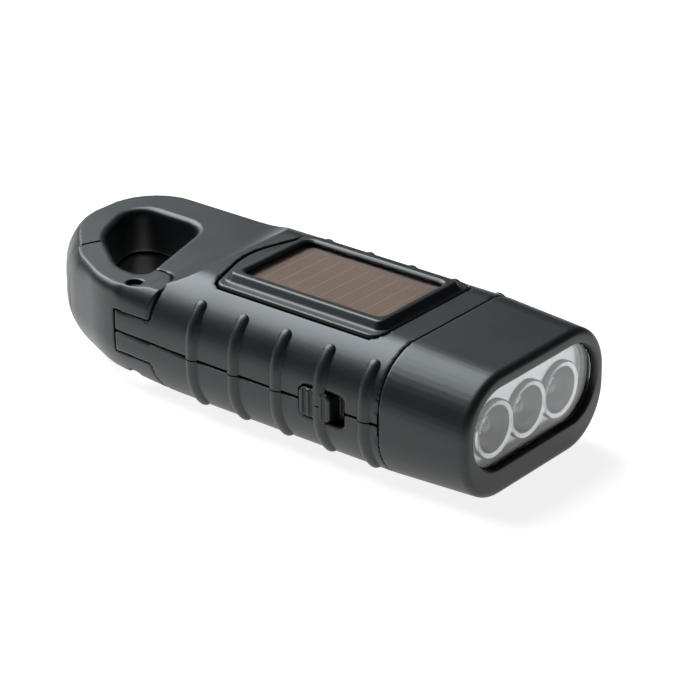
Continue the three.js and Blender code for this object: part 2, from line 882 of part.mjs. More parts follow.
// Head cap: tapers to the front, with a rounded nose and a long opening for the lens.
function headShell() {
  const nose = [];
  for (let k = 0; k <= noseSteps; k++) {
    const angle = (k / noseSteps) * Math.PI / 2;
    nose.push([halfLength - noseRadius * (1 - Math.sin(angle)), noseRadius * (1 - Math.cos(angle))]);
  }
  const outer = headSkin([[seamX + seamGap, 0], ...nose]);
  const inner = headSkin([[seamX - overrun, wall], [faceInner, wall]]);
  const opening = acrossHead(faceOutline(0), faceInner - overrun, halfLength + overrun);
  const flare = acrossHead(faceOutline(0), halfLength - faceFlare, halfLength + faceFlare, 0, faceFlare * 2);
  return outer.subtract(inner).subtract(opening).subtract(flare);
}

const lensFront = faceInner - fitGap;
const lensBack = lensFront - lensThickness;
const reflectorFront = lensBack - fitGap;
const ledBoardFront = reflectorFront - reflectorDepth - ledStandoff;

function ledYs() {
  return Array.from({ length: ledCount }, (_, i) => (i - (ledCount - 1) / 2) * ledPitch);
}

function lensPlate() {
  return acrossHead(faceOutline(lensRim), lensBack, lensFront);
}

// A solid turned about the head's own axis, from [radius, distance towards the front].
function turnedForward(profile, x, y, z, sides = smallSides) {
  const geometry = new THREE.LatheGeometry(profile.map(([r, h]) => new THREE.Vector2(r, h)), sides);
  geometry.rotateZ(-Math.PI / 2);
  geometry.translate(x, y, z);
  return solid(geometry);
}

// Plate with three cups that widen towards the lens.
function reflector() {
  const back = reflectorFront - reflectorPlate;
  let body = headSkin([[back, wall + fitGap], [reflectorFront, wall + fitGap]]);
  const throat = ledRadius + fitGap;
  const cup = (grow, near, farEnd) => {
    const profile = [[0, near]];
    for (let k = 0; k <= cupSteps; k++) {
      const share = k / cupSteps;
      const radius = THREE.MathUtils.lerp(throat, cupMouthRadius, Math.sqrt(share)) + grow;
      profile.push([radius, -reflectorDepth + share * reflectorDepth]);
    }
    profile[1][1] = near;
    profile.at(-1)[1] = farEnd;
    profile.push([0, farEnd]);
    return profile;
  };
  const outside = cup(cupWall, -reflectorDepth, -reflectorPlate / 2);
  const inside = cup(0, -reflectorDepth - overrun / 2, overrun / 2);
  for (const y of ledYs()) {
    body = body.add(turnedForward(outside, reflectorFront, y, faceZ, roundSides));
  }
  for (const y of ledYs()) {
    body = body.subtract(turnedForward(inside, reflectorFront, y, faceZ, roundSides));
  }
  return body;
}

function ledBulb() {
  const profile = [
    [0, 0],
    [ledFlangeRadius, 0],
    [ledFlangeRadius, ledFlangeHeight],
    [ledRadius, ledFlangeHeight],
  ];
  for (let k = 0; k <= domeSteps; k++) {
    const angle = (k / domeSteps) * Math.PI / 2;
    profile.push([ledRadius * Math.cos(angle), ledDome + ledRadius * Math.sin(angle)]);
  }
  profile.at(-1)[0] = 0;
  return turnedForward(profile, 0, 0, 0);
}

function ledBoard() {
  const back = ledBoardFront - boardThickness;
  return headSkin([[back, wall + fitGap], [ledBoardFront, wall + fitGap]]);
}

// The wall curves away above and below the slot, so the flange stands off by a little more than the gap.
const flangeFront = -halfWidth + wall + fitGap * 3;

// Knob of the slide switch: a grooved cap outside, a flange that runs inside the wall, and a stem.
function slider() {
  const z = sliderHeight / 2;
  const face = -halfWidth - sliderProud;
  const neckY = flangeFront;
  const flangeY = neckY + sliderFlangeThickness;
  const cap = new THREE.ExtrudeGeometry(
    outlineShape(rectangle(0, sliderLength, -z, z, sliderCorner)),
    { depth: flangeY - face, bevelEnabled: false },
  );
  cap.rotateX(Math.PI / 2);
  cap.translate(0, flangeY, 0);
  let body = solid(cap);
  const rim = sliderFlangeRim;
  body = body.add(block(-rim, sliderLength + rim, neckY, flangeY, -z - rim, z + rim));
  const mid = sliderLength / 2;
  body = body.add(block(mid - stemLength / 2, mid + stemLength / 2, flangeY - fitGap, flangeY + stemReach,
    -stemHeight / 2, stemHeight / 2));
  const pitch = sliderLength / (gripGrooves + 1);
  for (let k = 1; k <= gripGrooves; k++) {
    const groove = block(k * pitch - pitch / 5, k * pitch + pitch / 5, face - overrun, face + gripGrooveDepth,
      -z - overrun, z + overrun);
    body = body.subtract(groove);
  }
  return body;
}

const switchFront = flangeFront + sliderFlangeThickness + fitGap;
const switchMid = sliderX + (sliderLength + sliderTravel) / 2;

// Body of the electrical switch, with the slot that the knob's stem moves in.
function switchBody() {
  const half = switchBodyLength / 2;
  const z = switchBodyHeight / 2;
  const body = block(switchMid - half, switchMid + half, switchFront, switchFront + switchBodyDepth,
    parting - z, parting + z);
  const slotHalf = (stemLength + sliderTravel) / 2 + fitGap;
  const slotZ = stemHeight / 2 + fitGap;
  return body.subtract(block(switchMid - slotHalf, switchMid + slotHalf, switchFront - overrun,
    switchFront + stemReach + fitGap, parting - slotZ, parting + slotZ));
}

// Two webs in the lower half that the switch body rests on, stepped down to pass under the knob's flange.
function switchShelf() {
  const top = parting - switchBodyHeight / 2 - fitGap;
  const step = parting - sliderHeight / 2 - sliderFlangeRim - fitGap * 2;
  const y1 = switchFront + switchBodyDepth;
  const half = switchBodyLength / 2 - wall / 2;
  const webs = [-half, half].map((offset) => {
    const x0 = switchMid + offset - wall / 2;
    const foot = block(x0, x0 + wall, -halfWidth + wall / 2, y1, wall / 2, step);
    return foot.add(block(x0, x0 + wall, switchFront, y1, step - wall, top));
  });
  return joined(...webs).intersect(wholeTube);
}

const troughX = knobHingeReach - knobLength - knobTroughGap;
// The grip's end swings out past the trough's end wall, so the wall stands where it leaves the disc.
const knobSwingDepth = knobHingeHeight - crankLift;
const troughEndX = knobHingeReach + knobTroughGap - Math.sqrt(knobNeck ** 2 - knobSwingDepth ** 2);
const troughTop = knobHingeHeight + knobRadius + knobTroughGap;

// Turntable of the crank, with a trough for the folded handle, hinge ears and the drive shaft.
function crankDisc() {
  let body = post(0, 0, crankLift, crankTop, crankRadius, largeSides);
  const y = knobRadius + knobTroughGap;
  const eye = knobEyeWidth / 2 + fitGap;
  const eyeX = knobHingeReach + knobEyeRadius + fitGap;
  body = body.subtract(block(troughX, troughEndX, -y, y, -overrun, troughTop));
  body = body.subtract(block(troughEndX - fitGap, eyeX, -eye, eye, -overrun, troughTop));
  body = body.subtract(crossBar(knobHingeReach, knobHingeHeight, knobPinLength + fitGap * 2,
    knobPinRadius + pinGap));
  const notch = new THREE.SphereGeometry(thumbNotchRadius, smallSides, smallSides / 2);
  notch.translate(troughX + thumbNotchSetback, 0, crankLift - thumbNotchSetback);
  body = body.subtract(solid(notch));
  body = body.add(post(0, 0, crankTop - fitGap, gearLevel - fitGap, shaftRadius));
  const half = shaftSquare / 2;
  body = body.add(block(-half, half, -half, half, gearLevel - fitGap * 2, driveTop - fitGap));
  return body.subtract(post(0, 0, driveTop - crankScrewLength, far, crankScrewShank + pinGap));
}

// A round bar along Y, centred on the crank's middle plane.
function crossBar(x, z, across, radius) {
  const geometry = new THREE.CylinderGeometry(radius, radius, across, smallSides);
  geometry.translate(x, 0, z);
  return solid(geometry);
}

// A round bar along X.
function alongBar(x0, x1, radius, sides = smallSides) {
  const geometry = new THREE.CylinderGeometry(radius, radius, x1 - x0, sides);
  geometry.rotateZ(Math.PI / 2);
  geometry.translate((x0 + x1) / 2, 0, 0);
  return solid(geometry);
}

const gripEnd = -knobLength + knobCapLength + fitGap;

function knobPost() {
  const eye = crossBar(0, 0, knobEyeWidth, knobEyeRadius);
  const shank = alongBar(gripEnd, -knobEyeRadius / 2, knobPostRadius);
  return eye.add(shank).subtract(crossBar(0, 0, knobEyeWidth * 2, knobPinRadius + pinGap))
    .subtract(alongBar(gripEnd - overrun, gripEnd + knobCapLength * 2, knobCapStub + pinGap));
}

// Handle grip with shallow ridges, free to turn on its post.
function knobGrip() {
  const shape = new THREE.Shape();
  const points = [];
  for (let k = 0; k < knobRidges * 4; k++) {
    const angle = (k / (knobRidges * 4)) * Math.PI * 2;
    const radius = k % 4 < 2 ? knobRadius : knobRadius - knobRidgeDepth;
    points.push(new THREE.Vector2(radius * Math.cos(angle), radius * Math.sin(angle)));
  }
  shape.setFromPoints(points);
  const start = gripEnd + fitGap;
  const geometry = new THREE.ExtrudeGeometry(shape, { depth: -knobNeck - start, bevelEnabled: false });
  geometry.rotateY(Math.PI / 2);
  geometry.translate(start, 0, 0);
  return solid(geometry).subtract(alongBar(start - overrun, 0, knobPostRadius + fitGap));
}

function knobCap() {
  const head = alongBar(-knobLength, gripEnd - fitGap, knobRadius - knobRidgeDepth);
  return head.add(alongBar(-knobLength + knobCapLength / 2, gripEnd + knobCapLength, knobCapStub));
}

// Half the angle that a tooth takes up at a radius, for an involute flank.
function toothHalfAngle(pitch, radius) {
  const press = THREE.MathUtils.degToRad(pressureAngle);
  const involute = (angle) => Math.tan(angle) - angle;
  const base = pitch * Math.cos(press);
  const here = Math.acos(Math.min(1, base / radius));
  const thick = (Math.PI * gearModule) / 2 - backlash / 2;
  return thick / (2 * pitch) + involute(press) - involute(here);
}

// Spur gear outline, with one tooth centred on the given angle.
function gearShape(teeth, toothAngle) {
  const pitch = (gearModule * teeth) / 2;
  const base = pitch * Math.cos(THREE.MathUtils.degToRad(pressureAngle));
  const root = pitch - gearModule * dedendumShare;
  const tip = pitch + gearModule;
  const foot = Math.max(base, root);
  const radii = [foot, (foot + tip) / 2, tip];
  const points = [];
  for (let k = 0; k < teeth; k++) {
    const centre = toothAngle + (k / teeth) * Math.PI * 2;
    const flank = radii.map((radius) => [radius, toothHalfAngle(pitch, radius)]);
    const rise = foot > root ? [[root, flank[0][1]], ...flank] : flank;
    for (const [radius, half] of rise) {
      points.push(new THREE.Vector2(radius * Math.cos(centre - half), radius * Math.sin(centre - half)));
    }
    for (const [radius, half] of [...rise].reverse()) {
      points.push(new THREE.Vector2(radius * Math.cos(centre + half), radius * Math.sin(centre + half)));
    }
  }
  return new THREE.Shape(points);
}

function gear(teeth, toothAngle, z0, z1) {
  return extrude(gearShape(teeth, toothAngle), z0, z1);
}

function driveGear() {
  const half = shaftSquare / 2 + fitGap;
  return gear(driveTeeth, 0, gearLevel, driveTop)
    .subtract(block(-half, half, -half, half, -overrun, far));
}

// Small pinion below and large wheel above, on one hub.
function compoundGear() {
  const halfTooth = Math.PI / pinionTeeth;
  const pinion = gear(pinionTeeth, Math.PI + halfTooth, gearLevel, wheelLevel + wheelThickness / 2);
  const wheel = gear(wheelTeeth, rotorAngle, wheelLevel, wheelLevel + wheelThickness);
  return pinion.add(wheel).subtract(post(0, 0, -overrun, far, axleRadius + axleGap));
}

function rotorPinion() {
  const mesh = rotorAngle + Math.PI + Math.PI / pinionTeeth;
  return gear(pinionTeeth, mesh, wheelLevel, wheelLevel + wheelThickness)
    .subtract(post(0, 0, -overrun, far, rotorShaftRadius + axleGap));
}

// Plate that carries the upper ends of the axles, with a nose towards the tail.
function gearPlate() {
  const [rear] = gearPosts()[0];
  const front = seamX - screwBossRadius * (screwFrontShare + 1) - fitGap;
  const side = halfWidth - wall * plateSideShare;
  const back = crankX - drivePitch + gearModule;
  const nose = rear - gearPostRadius * plateNoseShare;
  const corner = gearPostRadius;
  const outline = [
    [front, side, corner],
    [back, side, corner],
    [nose, gearPostRadius * 2, corner],
    [nose, -gearPostRadius * 2, corner],
    [back, -side, corner],
    [front, -side, corner],
  ];
  let plate = stack(outline, [[plateLevel, 0], [plateTop, 0]]);
  for (const [x, y] of gearPosts()) {
    plate = plate.subtract(post(x, y, -overrun, far, screwRadius + fitGap));
  }
  plate = plate.subtract(post(compoundX, 0, -overrun, far, axleRadius + axleGap));
  return plate.subtract(post(rotorX, rotorY, -overrun, far, rotorShaftRadius + axleGap));
}

// Round-headed screw standing on its head's flat side, with its shank pointing up.
function capScrew(headRadius, headHeight, shankRadius, shankLength) {
  const across = headRadius * 2;
  const slot = block(-across, across, -screwSlot / 2, screwSlot / 2, -overrun, headHeight / 2);
  return turned([
    [0, 0],
    [headRadius - screwHeadEdge, 0],
    [headRadius, screwHeadEdge],
    [headRadius, headHeight],
    [shankRadius, headHeight],
    [shankRadius, headHeight + shankLength],
    [0, headHeight + shankLength],
  ]).subtract(slot);
}

function addScrew(parent, name, body, x, y, z, turnedOver) {
  const screw = piece(parent, name, body, materials.steel, [x, y, z]);
  if (turnedOver) screw.rotation.x = Math.PI;
  return screw;
}

function generatorCase() {
  const cup = ringPost(0, caseHeight, caseRadius, caseRadius - caseWall);
  const rim = caseRadius - caseWall / 2;
  const lid = ringPost(caseHeight - caseWall, caseHeight, rim, rotorShaftRadius + axleGap);
  return cup.add(lid);
}

function batteryCell() {
  return turned([
    [0, 0],
    [cellRadius - cellEdge, 0],
    [cellRadius, cellEdge],
    [cellRadius, cellHeight],
    [cellCapRadius, cellHeight],
    [cellCapRadius, cellHeight + cellCapHeight],
    [0, cellHeight + cellCapHeight],
  ], roundSides);
}

function batteryPlaces() {
  const apart = cellRadius + fitGap;
  const x = seamX - cellRadius - wall / 2;
  return [[x, apart], [x, -apart], [x - cellRadius * 2 - fitGap, -cellRadius - wall * 2]];
}

function addHousing(model) {
  const halves = housingHalves();
  piece(model, 'upper_shell', upperShell(halves.upper), materials.shell);
  piece(model, 'lower_shell', lowerShell(halves.lower), materials.shell);
  const reach = parting + screwBite - screwRecess - screwHeadHeight;
  const screw = capScrew(screwHeadRadius, screwHeadHeight - fitGap, screwRadius, reach);
  screwPlaces().forEach(([x, y], i) => {
    addScrew(model, `housing_screw_${i + 1}`, screw, x, y, screwRecess, false);
  });
  const tailReach = parting + screwBite - tailBottom - screwRecess - screwHeadHeight;
  const tailScrew = capScrew(screwHeadRadius, screwHeadHeight - fitGap, screwRadius, tailReach);
  addScrew(model, 'tail_screw', tailScrew, tailScrewX, tailScrewY, tailBottom + screwRecess, false);
}

function addGate(model) {
  piece(model, 'gate', gateBody(), materials.shell);
  piece(model, 'gate_pin', gatePin(), materials.steel, [gateX, gateY, 0]);
  piece(model, 'gate_spring', gateSpring(), materials.steel, [gateX, gateY, parting]);
}

function addSolarPanel(model) {
  piece(model, 'solar_frame', solarFrame(), materials.frame);
  piece(model, 'solar_window', solarWindow(), materials.clear);
  piece(model, 'solar_cell', solarCell(), materials.cell);
}

function addHead(model) {
  piece(model, 'head_shell', headShell(), materials.head);
  piece(model, 'lens', lensPlate(), materials.clear);
  piece(model, 'reflector', reflector(), materials.reflector);
  piece(model, 'led_board', ledBoard(), materials.board);
  ledYs().forEach((y, i) => {
    piece(model, `led_${i + 1}`, ledBulb(), materials.led, [ledBoardFront + fitGap, y, faceZ]);
  });
}

function addSwitch(model) {
  piece(model, 'switch_knob', slider(), materials.knob, [sliderX, 0, parting]);
  piece(model, 'switch_body', switchBody(), materials.chip);
}

function addCrank(model) {
  const crank = groupAt(model, crankX, 0, 0);
  piece(crank, 'crank_disc', crankDisc(), materials.knob);
  const handle = groupAt(crank, knobHingeReach, 0, knobHingeHeight);
  piece(handle, 'handle_post', knobPost(), materials.knob);
  piece(handle, 'handle_pin', crossBar(0, 0, knobPinLength, knobPinRadius), materials.steel);
  piece(handle, 'handle_grip', knobGrip(), materials.knob);
  piece(handle, 'handle_cap', knobCap(), materials.knob);
  piece(crank, 'drive_gear', driveGear(), materials.gear);
  const reach = crankScrewLength - fitGap * 2;
  const screw = capScrew(crankScrewHead, crankScrewHeadHeight, crankScrewShank, reach);
  addScrew(crank, 'crank_screw', screw, 0, 0, driveTop + fitGap + crankScrewHeadHeight, true);
}

function addGearTrain(model) {
  const compound = groupAt(model, compoundX, 0, 0);
  piece(compound, 'compound_gear', compoundGear(), materials.gear);
  piece(compound, 'compound_axle', post(0, 0, wellTop / 2 + fitGap, plateTop, axleRadius), materials.steel);
  piece(model, 'gear_plate', gearPlate(), materials.gear);
  const screw = capScrew(plateScrewHead, crankScrewHeadHeight, screwRadius, plateScrewLength);
  gearPosts().forEach(([x, y], i) => {
    const z = plateTop + fitGap + crankScrewHeadHeight;
    addScrew(model, `plate_screw_${i + 1}`, screw, x, y, z, true);
  });
}

function addGenerator(model) {
  const base = plateTop + fitGap;
  const unit = groupAt(model, rotorX, rotorY, 0);
  const stator = ringPost(0, statorPlate, statorRadius, statorBore);
  const coilZ = base + fitGap + statorPlate + fitGap;
  piece(unit, 'generator_case', generatorCase(), materials.steel, [0, 0, base]);
  piece(unit, 'stator_lower', stator, materials.steel, [0, 0, base + fitGap]);
  const coil = ringPost(0, coilHeight, coilRadius, coilBore);
  piece(unit, 'generator_coil', coil, materials.copper, [0, 0, coilZ]);
  piece(unit, 'stator_upper', stator, materials.steel, [0, 0, coilZ + coilHeight + fitGap]);
  const magnetZ = base + fitGap * 2;
  const magnet = ringPost(0, rotorHeight, rotorRadius, rotorShaftRadius + axleGap);
  piece(unit, 'rotor_magnet', magnet, materials.chip, [0, 0, magnetZ]);
  piece(unit, 'rotor_shaft', post(0, 0, wheelLevel, base + caseHeight, rotorShaftRadius), materials.steel);
  piece(unit, 'rotor_pinion', rotorPinion(), materials.gear);
}

function addElectronics(model) {
  const level = plateTop + fitGap;
  batteryPlaces().forEach(([x, y], i) => {
    piece(model, `battery_cell_${i + 1}`, batteryCell(), materials.steel, [x, y, level]);
  });
  const [rear] = gearPosts()[0];
  const back = rear - gearPostRadius * plateNoseShare;
  const x1 = back + boardLength;
  const boardZ = level + crankScrewHeadHeight + fitGap;
  const width = boardWidth / 2;
  const board = block(back, x1, -width, width, boardZ, boardZ + boardThickness);
  piece(model, 'main_board', board, materials.board);
  const top = boardZ + boardThickness + fitGap;
  const chip = block(-chipLength / 2, chipLength / 2, -chipWidth / 2, chipWidth / 2, 0, chipHeight);
  piece(model, 'control_chip', chip, materials.chip, [(back + x1) / 2, -width / 2, top]);
  const capacitor = post(0, 0, 0, capacitorHeight, capacitorRadius);
  piece(model, 'storage_capacitor', capacitor, materials.chip, [(back + x1) / 2, width / 2, top]);
}

const model = new THREE.Group();
addHousing(model);
addGate(model);
addSolarPanel(model);
addHead(model);
addSwitch(model);
addCrank(model);
addGearTrain(model);
addGenerator(model);
addElectronics(model);

export default model;
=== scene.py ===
import json
import math

import bpy
from mathutils import Matrix, Vector


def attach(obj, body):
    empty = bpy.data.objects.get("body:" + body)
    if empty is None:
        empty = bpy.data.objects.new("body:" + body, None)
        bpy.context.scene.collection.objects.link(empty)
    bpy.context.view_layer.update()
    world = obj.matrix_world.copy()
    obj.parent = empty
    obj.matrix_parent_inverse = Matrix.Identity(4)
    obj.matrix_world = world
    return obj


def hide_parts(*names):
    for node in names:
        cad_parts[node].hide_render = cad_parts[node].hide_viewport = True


# Hand crank flashlight. Sizes are in millimetres, and MM turns them into Blender's metres.
MM = 0.001

# Housing
HALF_LENGTH = 65
HALF_WIDTH = 25.2
BODY_HEIGHT = 29.6
PARTING = BODY_HEIGHT / 2
EDGE_RADIUS = 12.4
WALL = 2
GAP = 0.3
OVERRUN = 6
FAR = 130
SEAM_X = 43.2
SPIGOT_LENGTH = 4
TAIL_LENGTH = 43.5
TAIL_TOP = 25.6
TAIL_BOTTOM = 4.0
RAMP_X = -21.5
RAMP_RUN = 8
RAMP_BEND = 26
RIM_RADIUS = 1.4
RIM_STEPS = 6
SHOULDER_RADIUS = 3.0
SHOULDER_BEND = 23.2
SHOULDER_HINGE, SHOULDER_HINGE_RUN = 30, 8
SHOULDER_NOSE, SHOULDER_NOSE_RUN = 44, 12

# Tail outline and loop opening: shares of the tail length and of half the width, then the corner radius.
TAIL_SHARES = [(0, 1, 0.635), (0, -0.12, 0.79), (0.287, -0.643, 1.19), (0.713, -0.964, 1.19), (1.31, -1, 2.4)]
LOOP_SHARES = [(0.69, 0.535, 0.34), (0.19, 0.535, 0.34), (0.195, 0.21, 0.56), (0.305, -0.255, 0.75),
               (0.666, -0.705, 0.5), (0.885, -0.69, 0.14)]

# Ribs along the sides
RIB_XS = [-7.2, 4.5, 16.2, 27.9, 39.6]
RIB_HALF_WIDTH = 1.6
RIB_PROUD = 0.8
RIB_ROOT = 0.5
RIB_RUN = 13.6
RIB_RINGS, RIB_SIDES = 60, 12
RIB_TIP = 0.05
RIB_ANGLE = 32
SIDE_FACING = -0.3

# Gate of the loop
GATE_X, GATE_Y = -27.2, -20.56
NOSE_REACH = 24.5
TONGUE_REACH = 8.1
TONGUE_ANGLES, NOSE_ANGLES = (-75, 118), (120, 205)
KNUCKLE = 3
LUG_HEIGHT = 9.8
LUG_SETBACK = 1.7
LUG_STEPS = 24
PIN_RADIUS = 1.5
POCKET_HEIGHT = 5
POCKET_WALL = 1.6
POCKET_REACH = 7.2
GROOVE_DEPTH, GROOVE_FAR, GROOVE_NEAR, GROOVE_HALF = 2.2, 3.25, 1.75, 2.5

# Solar panel
PANEL = {"x1": 36.5, "length": 43.9, "width": 33.4, "bow": 5.4, "bow_share": 0.6, "corner": 3}
FLANGE_TOP = 29.5
FLANGE_SEAT = 27.3
FRAME_TOP = 31.2
FRAME_BOX = (-6.3, 34.7, -13.2, 13.2)
WINDOW_BOX = (-4.4, 32.8, -10.9, 10.9)
WINDOW_FLARE = 0.6
WINDOW_LEDGE = 1.0
PANE_BOTTOM, PANE_TOP = 29.2, 30.0
PANEL_GAP = 0.4
FRAME_CORNER, WINDOW_CORNER, PANE_CORNER = 1.2, 1.6, 1.2
FRAME_CHAMFER, FLANGE_EDGE, FRAME_EDGE, FRAME_LIP = 0.15, 0.5, 0.2, 0.05
RISE_FOOT, RISE_BEND, RISE_TOP = 1.25, 1.2, 1.05
TRAY_TOP = 27.0
TRAY_BOTTOM = 25.4

# Head
HEAD_LENGTH = 21.8
FRONT_HALF_WIDTH, FRONT_HALF_HEIGHT = 24.4, 13.8
FRONT_RISE = -0.2
FRONT_RADIUS = 12.2
NOSE_RADIUS = 1.5
FACE_INNER = 62.6
FACE_Z = 16.1
FACE_HALF_WIDTH, FACE_HALF_HEIGHT = 21.2, 8.9
FACE_CORNER_SHARE = 0.96
MOUTH_ROUNDING = 0.7
LENS_BACK, LENS_FRONT = 62.8, 63.6
LENS_GAP = 0.12
MIRROR_FRONT = 62.4
CUP_Z = 14.8
CUP_RADIUS, THROAT_RADIUS = 5.2, 2.8
MIRROR_DEPTH = 7.2
MIRROR_THICKNESS, MIRROR_PLATE, MIRROR_WALL = 2, 1.2, 0.7
BOWL_STEPS = 16
BOWL_LIP, BOWL_LIP_RISE, BOWL_FLARE = 0.1, 0.08, 0.3
BOWL_FRONT, BOWL_CLEARANCE = -0.5, 3
BAND_PROFILE = [(0, -1.4), (6.4, -1.4), (6.4, -0.3), (6.1, 0), (0, 0)]
LAMP_RADIUS, LAMP_RIM, LAMP_RIM_HEIGHT, LAMP_HEIGHT = 2.5, 2.9, 1, 7.6
LAMP_STEPS = 12
LED_YS = [-11.5, 0, 11.5]
BOARD_FRONT = 50.3

# Switch
SWITCH_X = 22.9
SWITCH_LENGTH, SWITCH_HEIGHT = 8.3, 6.4
SWITCH_TRAVEL = 3.3
SWITCH_PROUD = 0.7
SLOT_HEIGHT = 7.2
SLOT_CORNER = 1.7
FLANGE_Y = -22.3
KNOB_CORNER, KNOB_EDGE, KNOB_CHORD = 1.4, 0.6, 0.01
KNOB_FLANGE = 1
STEM_HALF, STEM_FROM, STEM_TO = 1.5, 0.7, 2.6
KNOB_PITCHES, KNOB_GROOVE, KNOB_GROOVE_DEPTH = 5, 0.45, 0.05
WEB_XS, WEB_HALF = [24.2, 33.2], 1
WEB_INNER, WEB_TOP = -16.4, 9.8
STEP_OUTER, STEP_BOTTOM, STEP_TOP = -21.0, 7.8, 11.7

# Crank
CRANK_X = 10.0
WELL_RADIUS, WELL_DEPTH, WELL_TOP = 16.4, 9.8, 11.3
DISC_RADIUS, DISC_BOTTOM, DISC_TOP = 16.0, 0.6, 9.4
HINGE_REACH, HINGE_HEIGHT = 12.0, 4.3
GRIP_RADIUS = 3.5
GRIP_END, GRIP_START, GRIP_BORE = 22.2, 6, 1.9
GRIP_SIDES, GRIP_EDGE = 120, 0.5
FLUTES, FLUTE_DEPTH, FLUTE_SHARPNESS = 10, 0.35, 0.7
CAP_REACH = 24.4
CAP_PROFILE = [(0, 0), (2.2, 0), (2.75, 0.12), (3.05, 0.5), (3.15, 1.0), (3.15, 1.6), (0.8, 1.6), (0.8, 3.5),
               (0, 3.5)]
TROUGH_REACH, TROUGH_GAP, TROUGH_RISE = 24.8, 0.4, 3.7
HINGE_SLOT_REACH, HINGE_SLOT_HALF = 2.7, 2
HINGE_PIN_RADIUS, HINGE_PIN_HALF = 1.2, 5
THUMB_RADIUS, THUMB_SHIFT = 5, 1.5
SHAFT_RADIUS, SHAFT_BORE = 3, 3.3
SQUARE_HALF, SQUARE_TOP, SQUARE_SINK = 2.1, 14.4, 0.6
CRANK_SCREW_RADIUS, CRANK_SCREW_FOOT = 1.2, 7.7
GEAR_LEVEL = 11.9
COMPOUND_X = 30.8
AXLE_TOP, AXLE_FOOT, AXLE_BORE = 11.6, 5.65, 1.45

SCREWS = [(-11.85, 17.6), (-11.85, -17.6), (38.25, 17.6), (38.25, -17.6)]
TAIL_SCREW = (-30.2, 15.37)
BOSS_RADIUS, BOSS_TOP = 3.3, 26.2
SCREW_BORE, SCREW_HEAD_BORE, SCREW_SINK = 1.5, 2.6, 4.0
SCREW_END = 22.8
SCREW_SEAT, SCREW_LENGTH, TAIL_SCREW_LENGTH = 2.4, 17.8, 13.8
SCREW_HEAD, SCREW_TIP = 1.3, 0.8
DRIVE_REACH, DRIVE_HALF, DRIVE_DEPTH = 1.35, 0.3, 0.85
GEAR_POSTS = [(-10, 0), (25, 18), (18.4, -18)]
POST_RADIUS, POST_TOP = 2.6, 17.8

# Drawing: chord error of curves, steps of arcs, small guards and the reach of merging in metres
CHORD = 0.006
ARC_STEPS = 60
EDGE_SHARE = 0.98
TINY = 1e-9
MERGE_REACH, THIN_REACH = 0.000002, 0.000001

# Voxel size with which the edges of each moulding are rounded
GRAIN = {"shell": 0.4, "gate": 0.25, "head": 0.32, "frame": 0.22, "knob": 0.14, "wheel": 0.3}

# Painted pool of light on the floor, in metres: how far it reaches to each side and in depth
VIEW_TURN = math.radians(39.07)
POOL_WIDTH, POOL_DEPTH, POOL_SHIFT = 0.11, 0.24, 0.06
GLOW = 0.85
FLOOR_SIZE = 6

# Camera and light, in metres and degrees
ELEVATION, ROLL = math.radians(25.38), math.radians(-0.32)
CAMERA_PLACE = (0.36725, -0.43283, 0.27893)
LENS_LENGTH, SENSOR_WIDTH = 148.3, 36
AIM = (0, 0, 0.01)
LIGHT_COLOR = (0.88, 0.96, 1.0)
SKY = 0.05

# Materials: the dark plastic, then in metres the parting line's half width and the cell's printed lines
PLASTIC = (0.0055, 0.0068, 0.0080)
DARKER, LIGHTER = 0.86, 1.14
LINE_HALF = 0.00009
CELL_START, CELL_PITCH, CELL_LINE, CELL_HALF = 0.0142, 0.0039, 0.47, 0.0088


def deselect():
    bpy.ops.object.select_all(action="DESELECT")


def take(piece):
    """Makes one piece the selected and active one."""
    deselect()
    piece.select_set(True)
    bpy.context.view_layer.objects.active = piece


def rounded(corners, chord=CHORD, steps=0):
    """Points and outward directions round an outline whose corners are [x, y, radius], anticlockwise."""
    count = len(corners)
    turns = []
    for i, (x, y, radius) in enumerate(corners):
        last, after = corners[i - 1], corners[(i + 1) % count]
        into = Vector((x - last[0], y - last[1]))
        away = Vector((after[0] - x, after[1] - y))
        turn = math.atan2(into.x * away.y - into.y * away.x, into.dot(away))
        turns.append((into.normalized(), away.length, turn, radius * math.tan(abs(turn) / 2)))
    fits = [min(1, turns[i][1] * EDGE_SHARE / max(TINY, turns[i][3] + turns[(i + 1) % count][3]))
            for i in range(count)]
    points = []
    for i, (into, _, turn, reach) in enumerate(turns):
        fit = min(fits[i], fits[i - 1])
        radius, side = corners[i][2] * fit, math.copysign(1, turn)
        outward = Vector((into.y, -into.x))
        centre = Vector(corners[i][:2]) - into * reach * fit - outward * radius * side
        if radius <= 0:
            points.append((Vector(corners[i][:2]), outward))
            continue
        pieces = steps or max(1, math.ceil(abs(turn) / (2 * math.acos(max(0, 1 - chord / radius)))))
        for k in range(pieces + 1):
            angle = turn * k / pieces
            c, s = math.cos(angle), math.sin(angle)
            normal = Vector((outward.x * c - outward.y * s, outward.x * s + outward.y * c))
            points.append((centre + normal * radius * side, normal))
    return points


def rectangle(x0, x1, y0, y1, radius):
    return [(x1, y1, radius), (x0, y1, radius), (x0, y0, radius), (x1, y0, radius)]


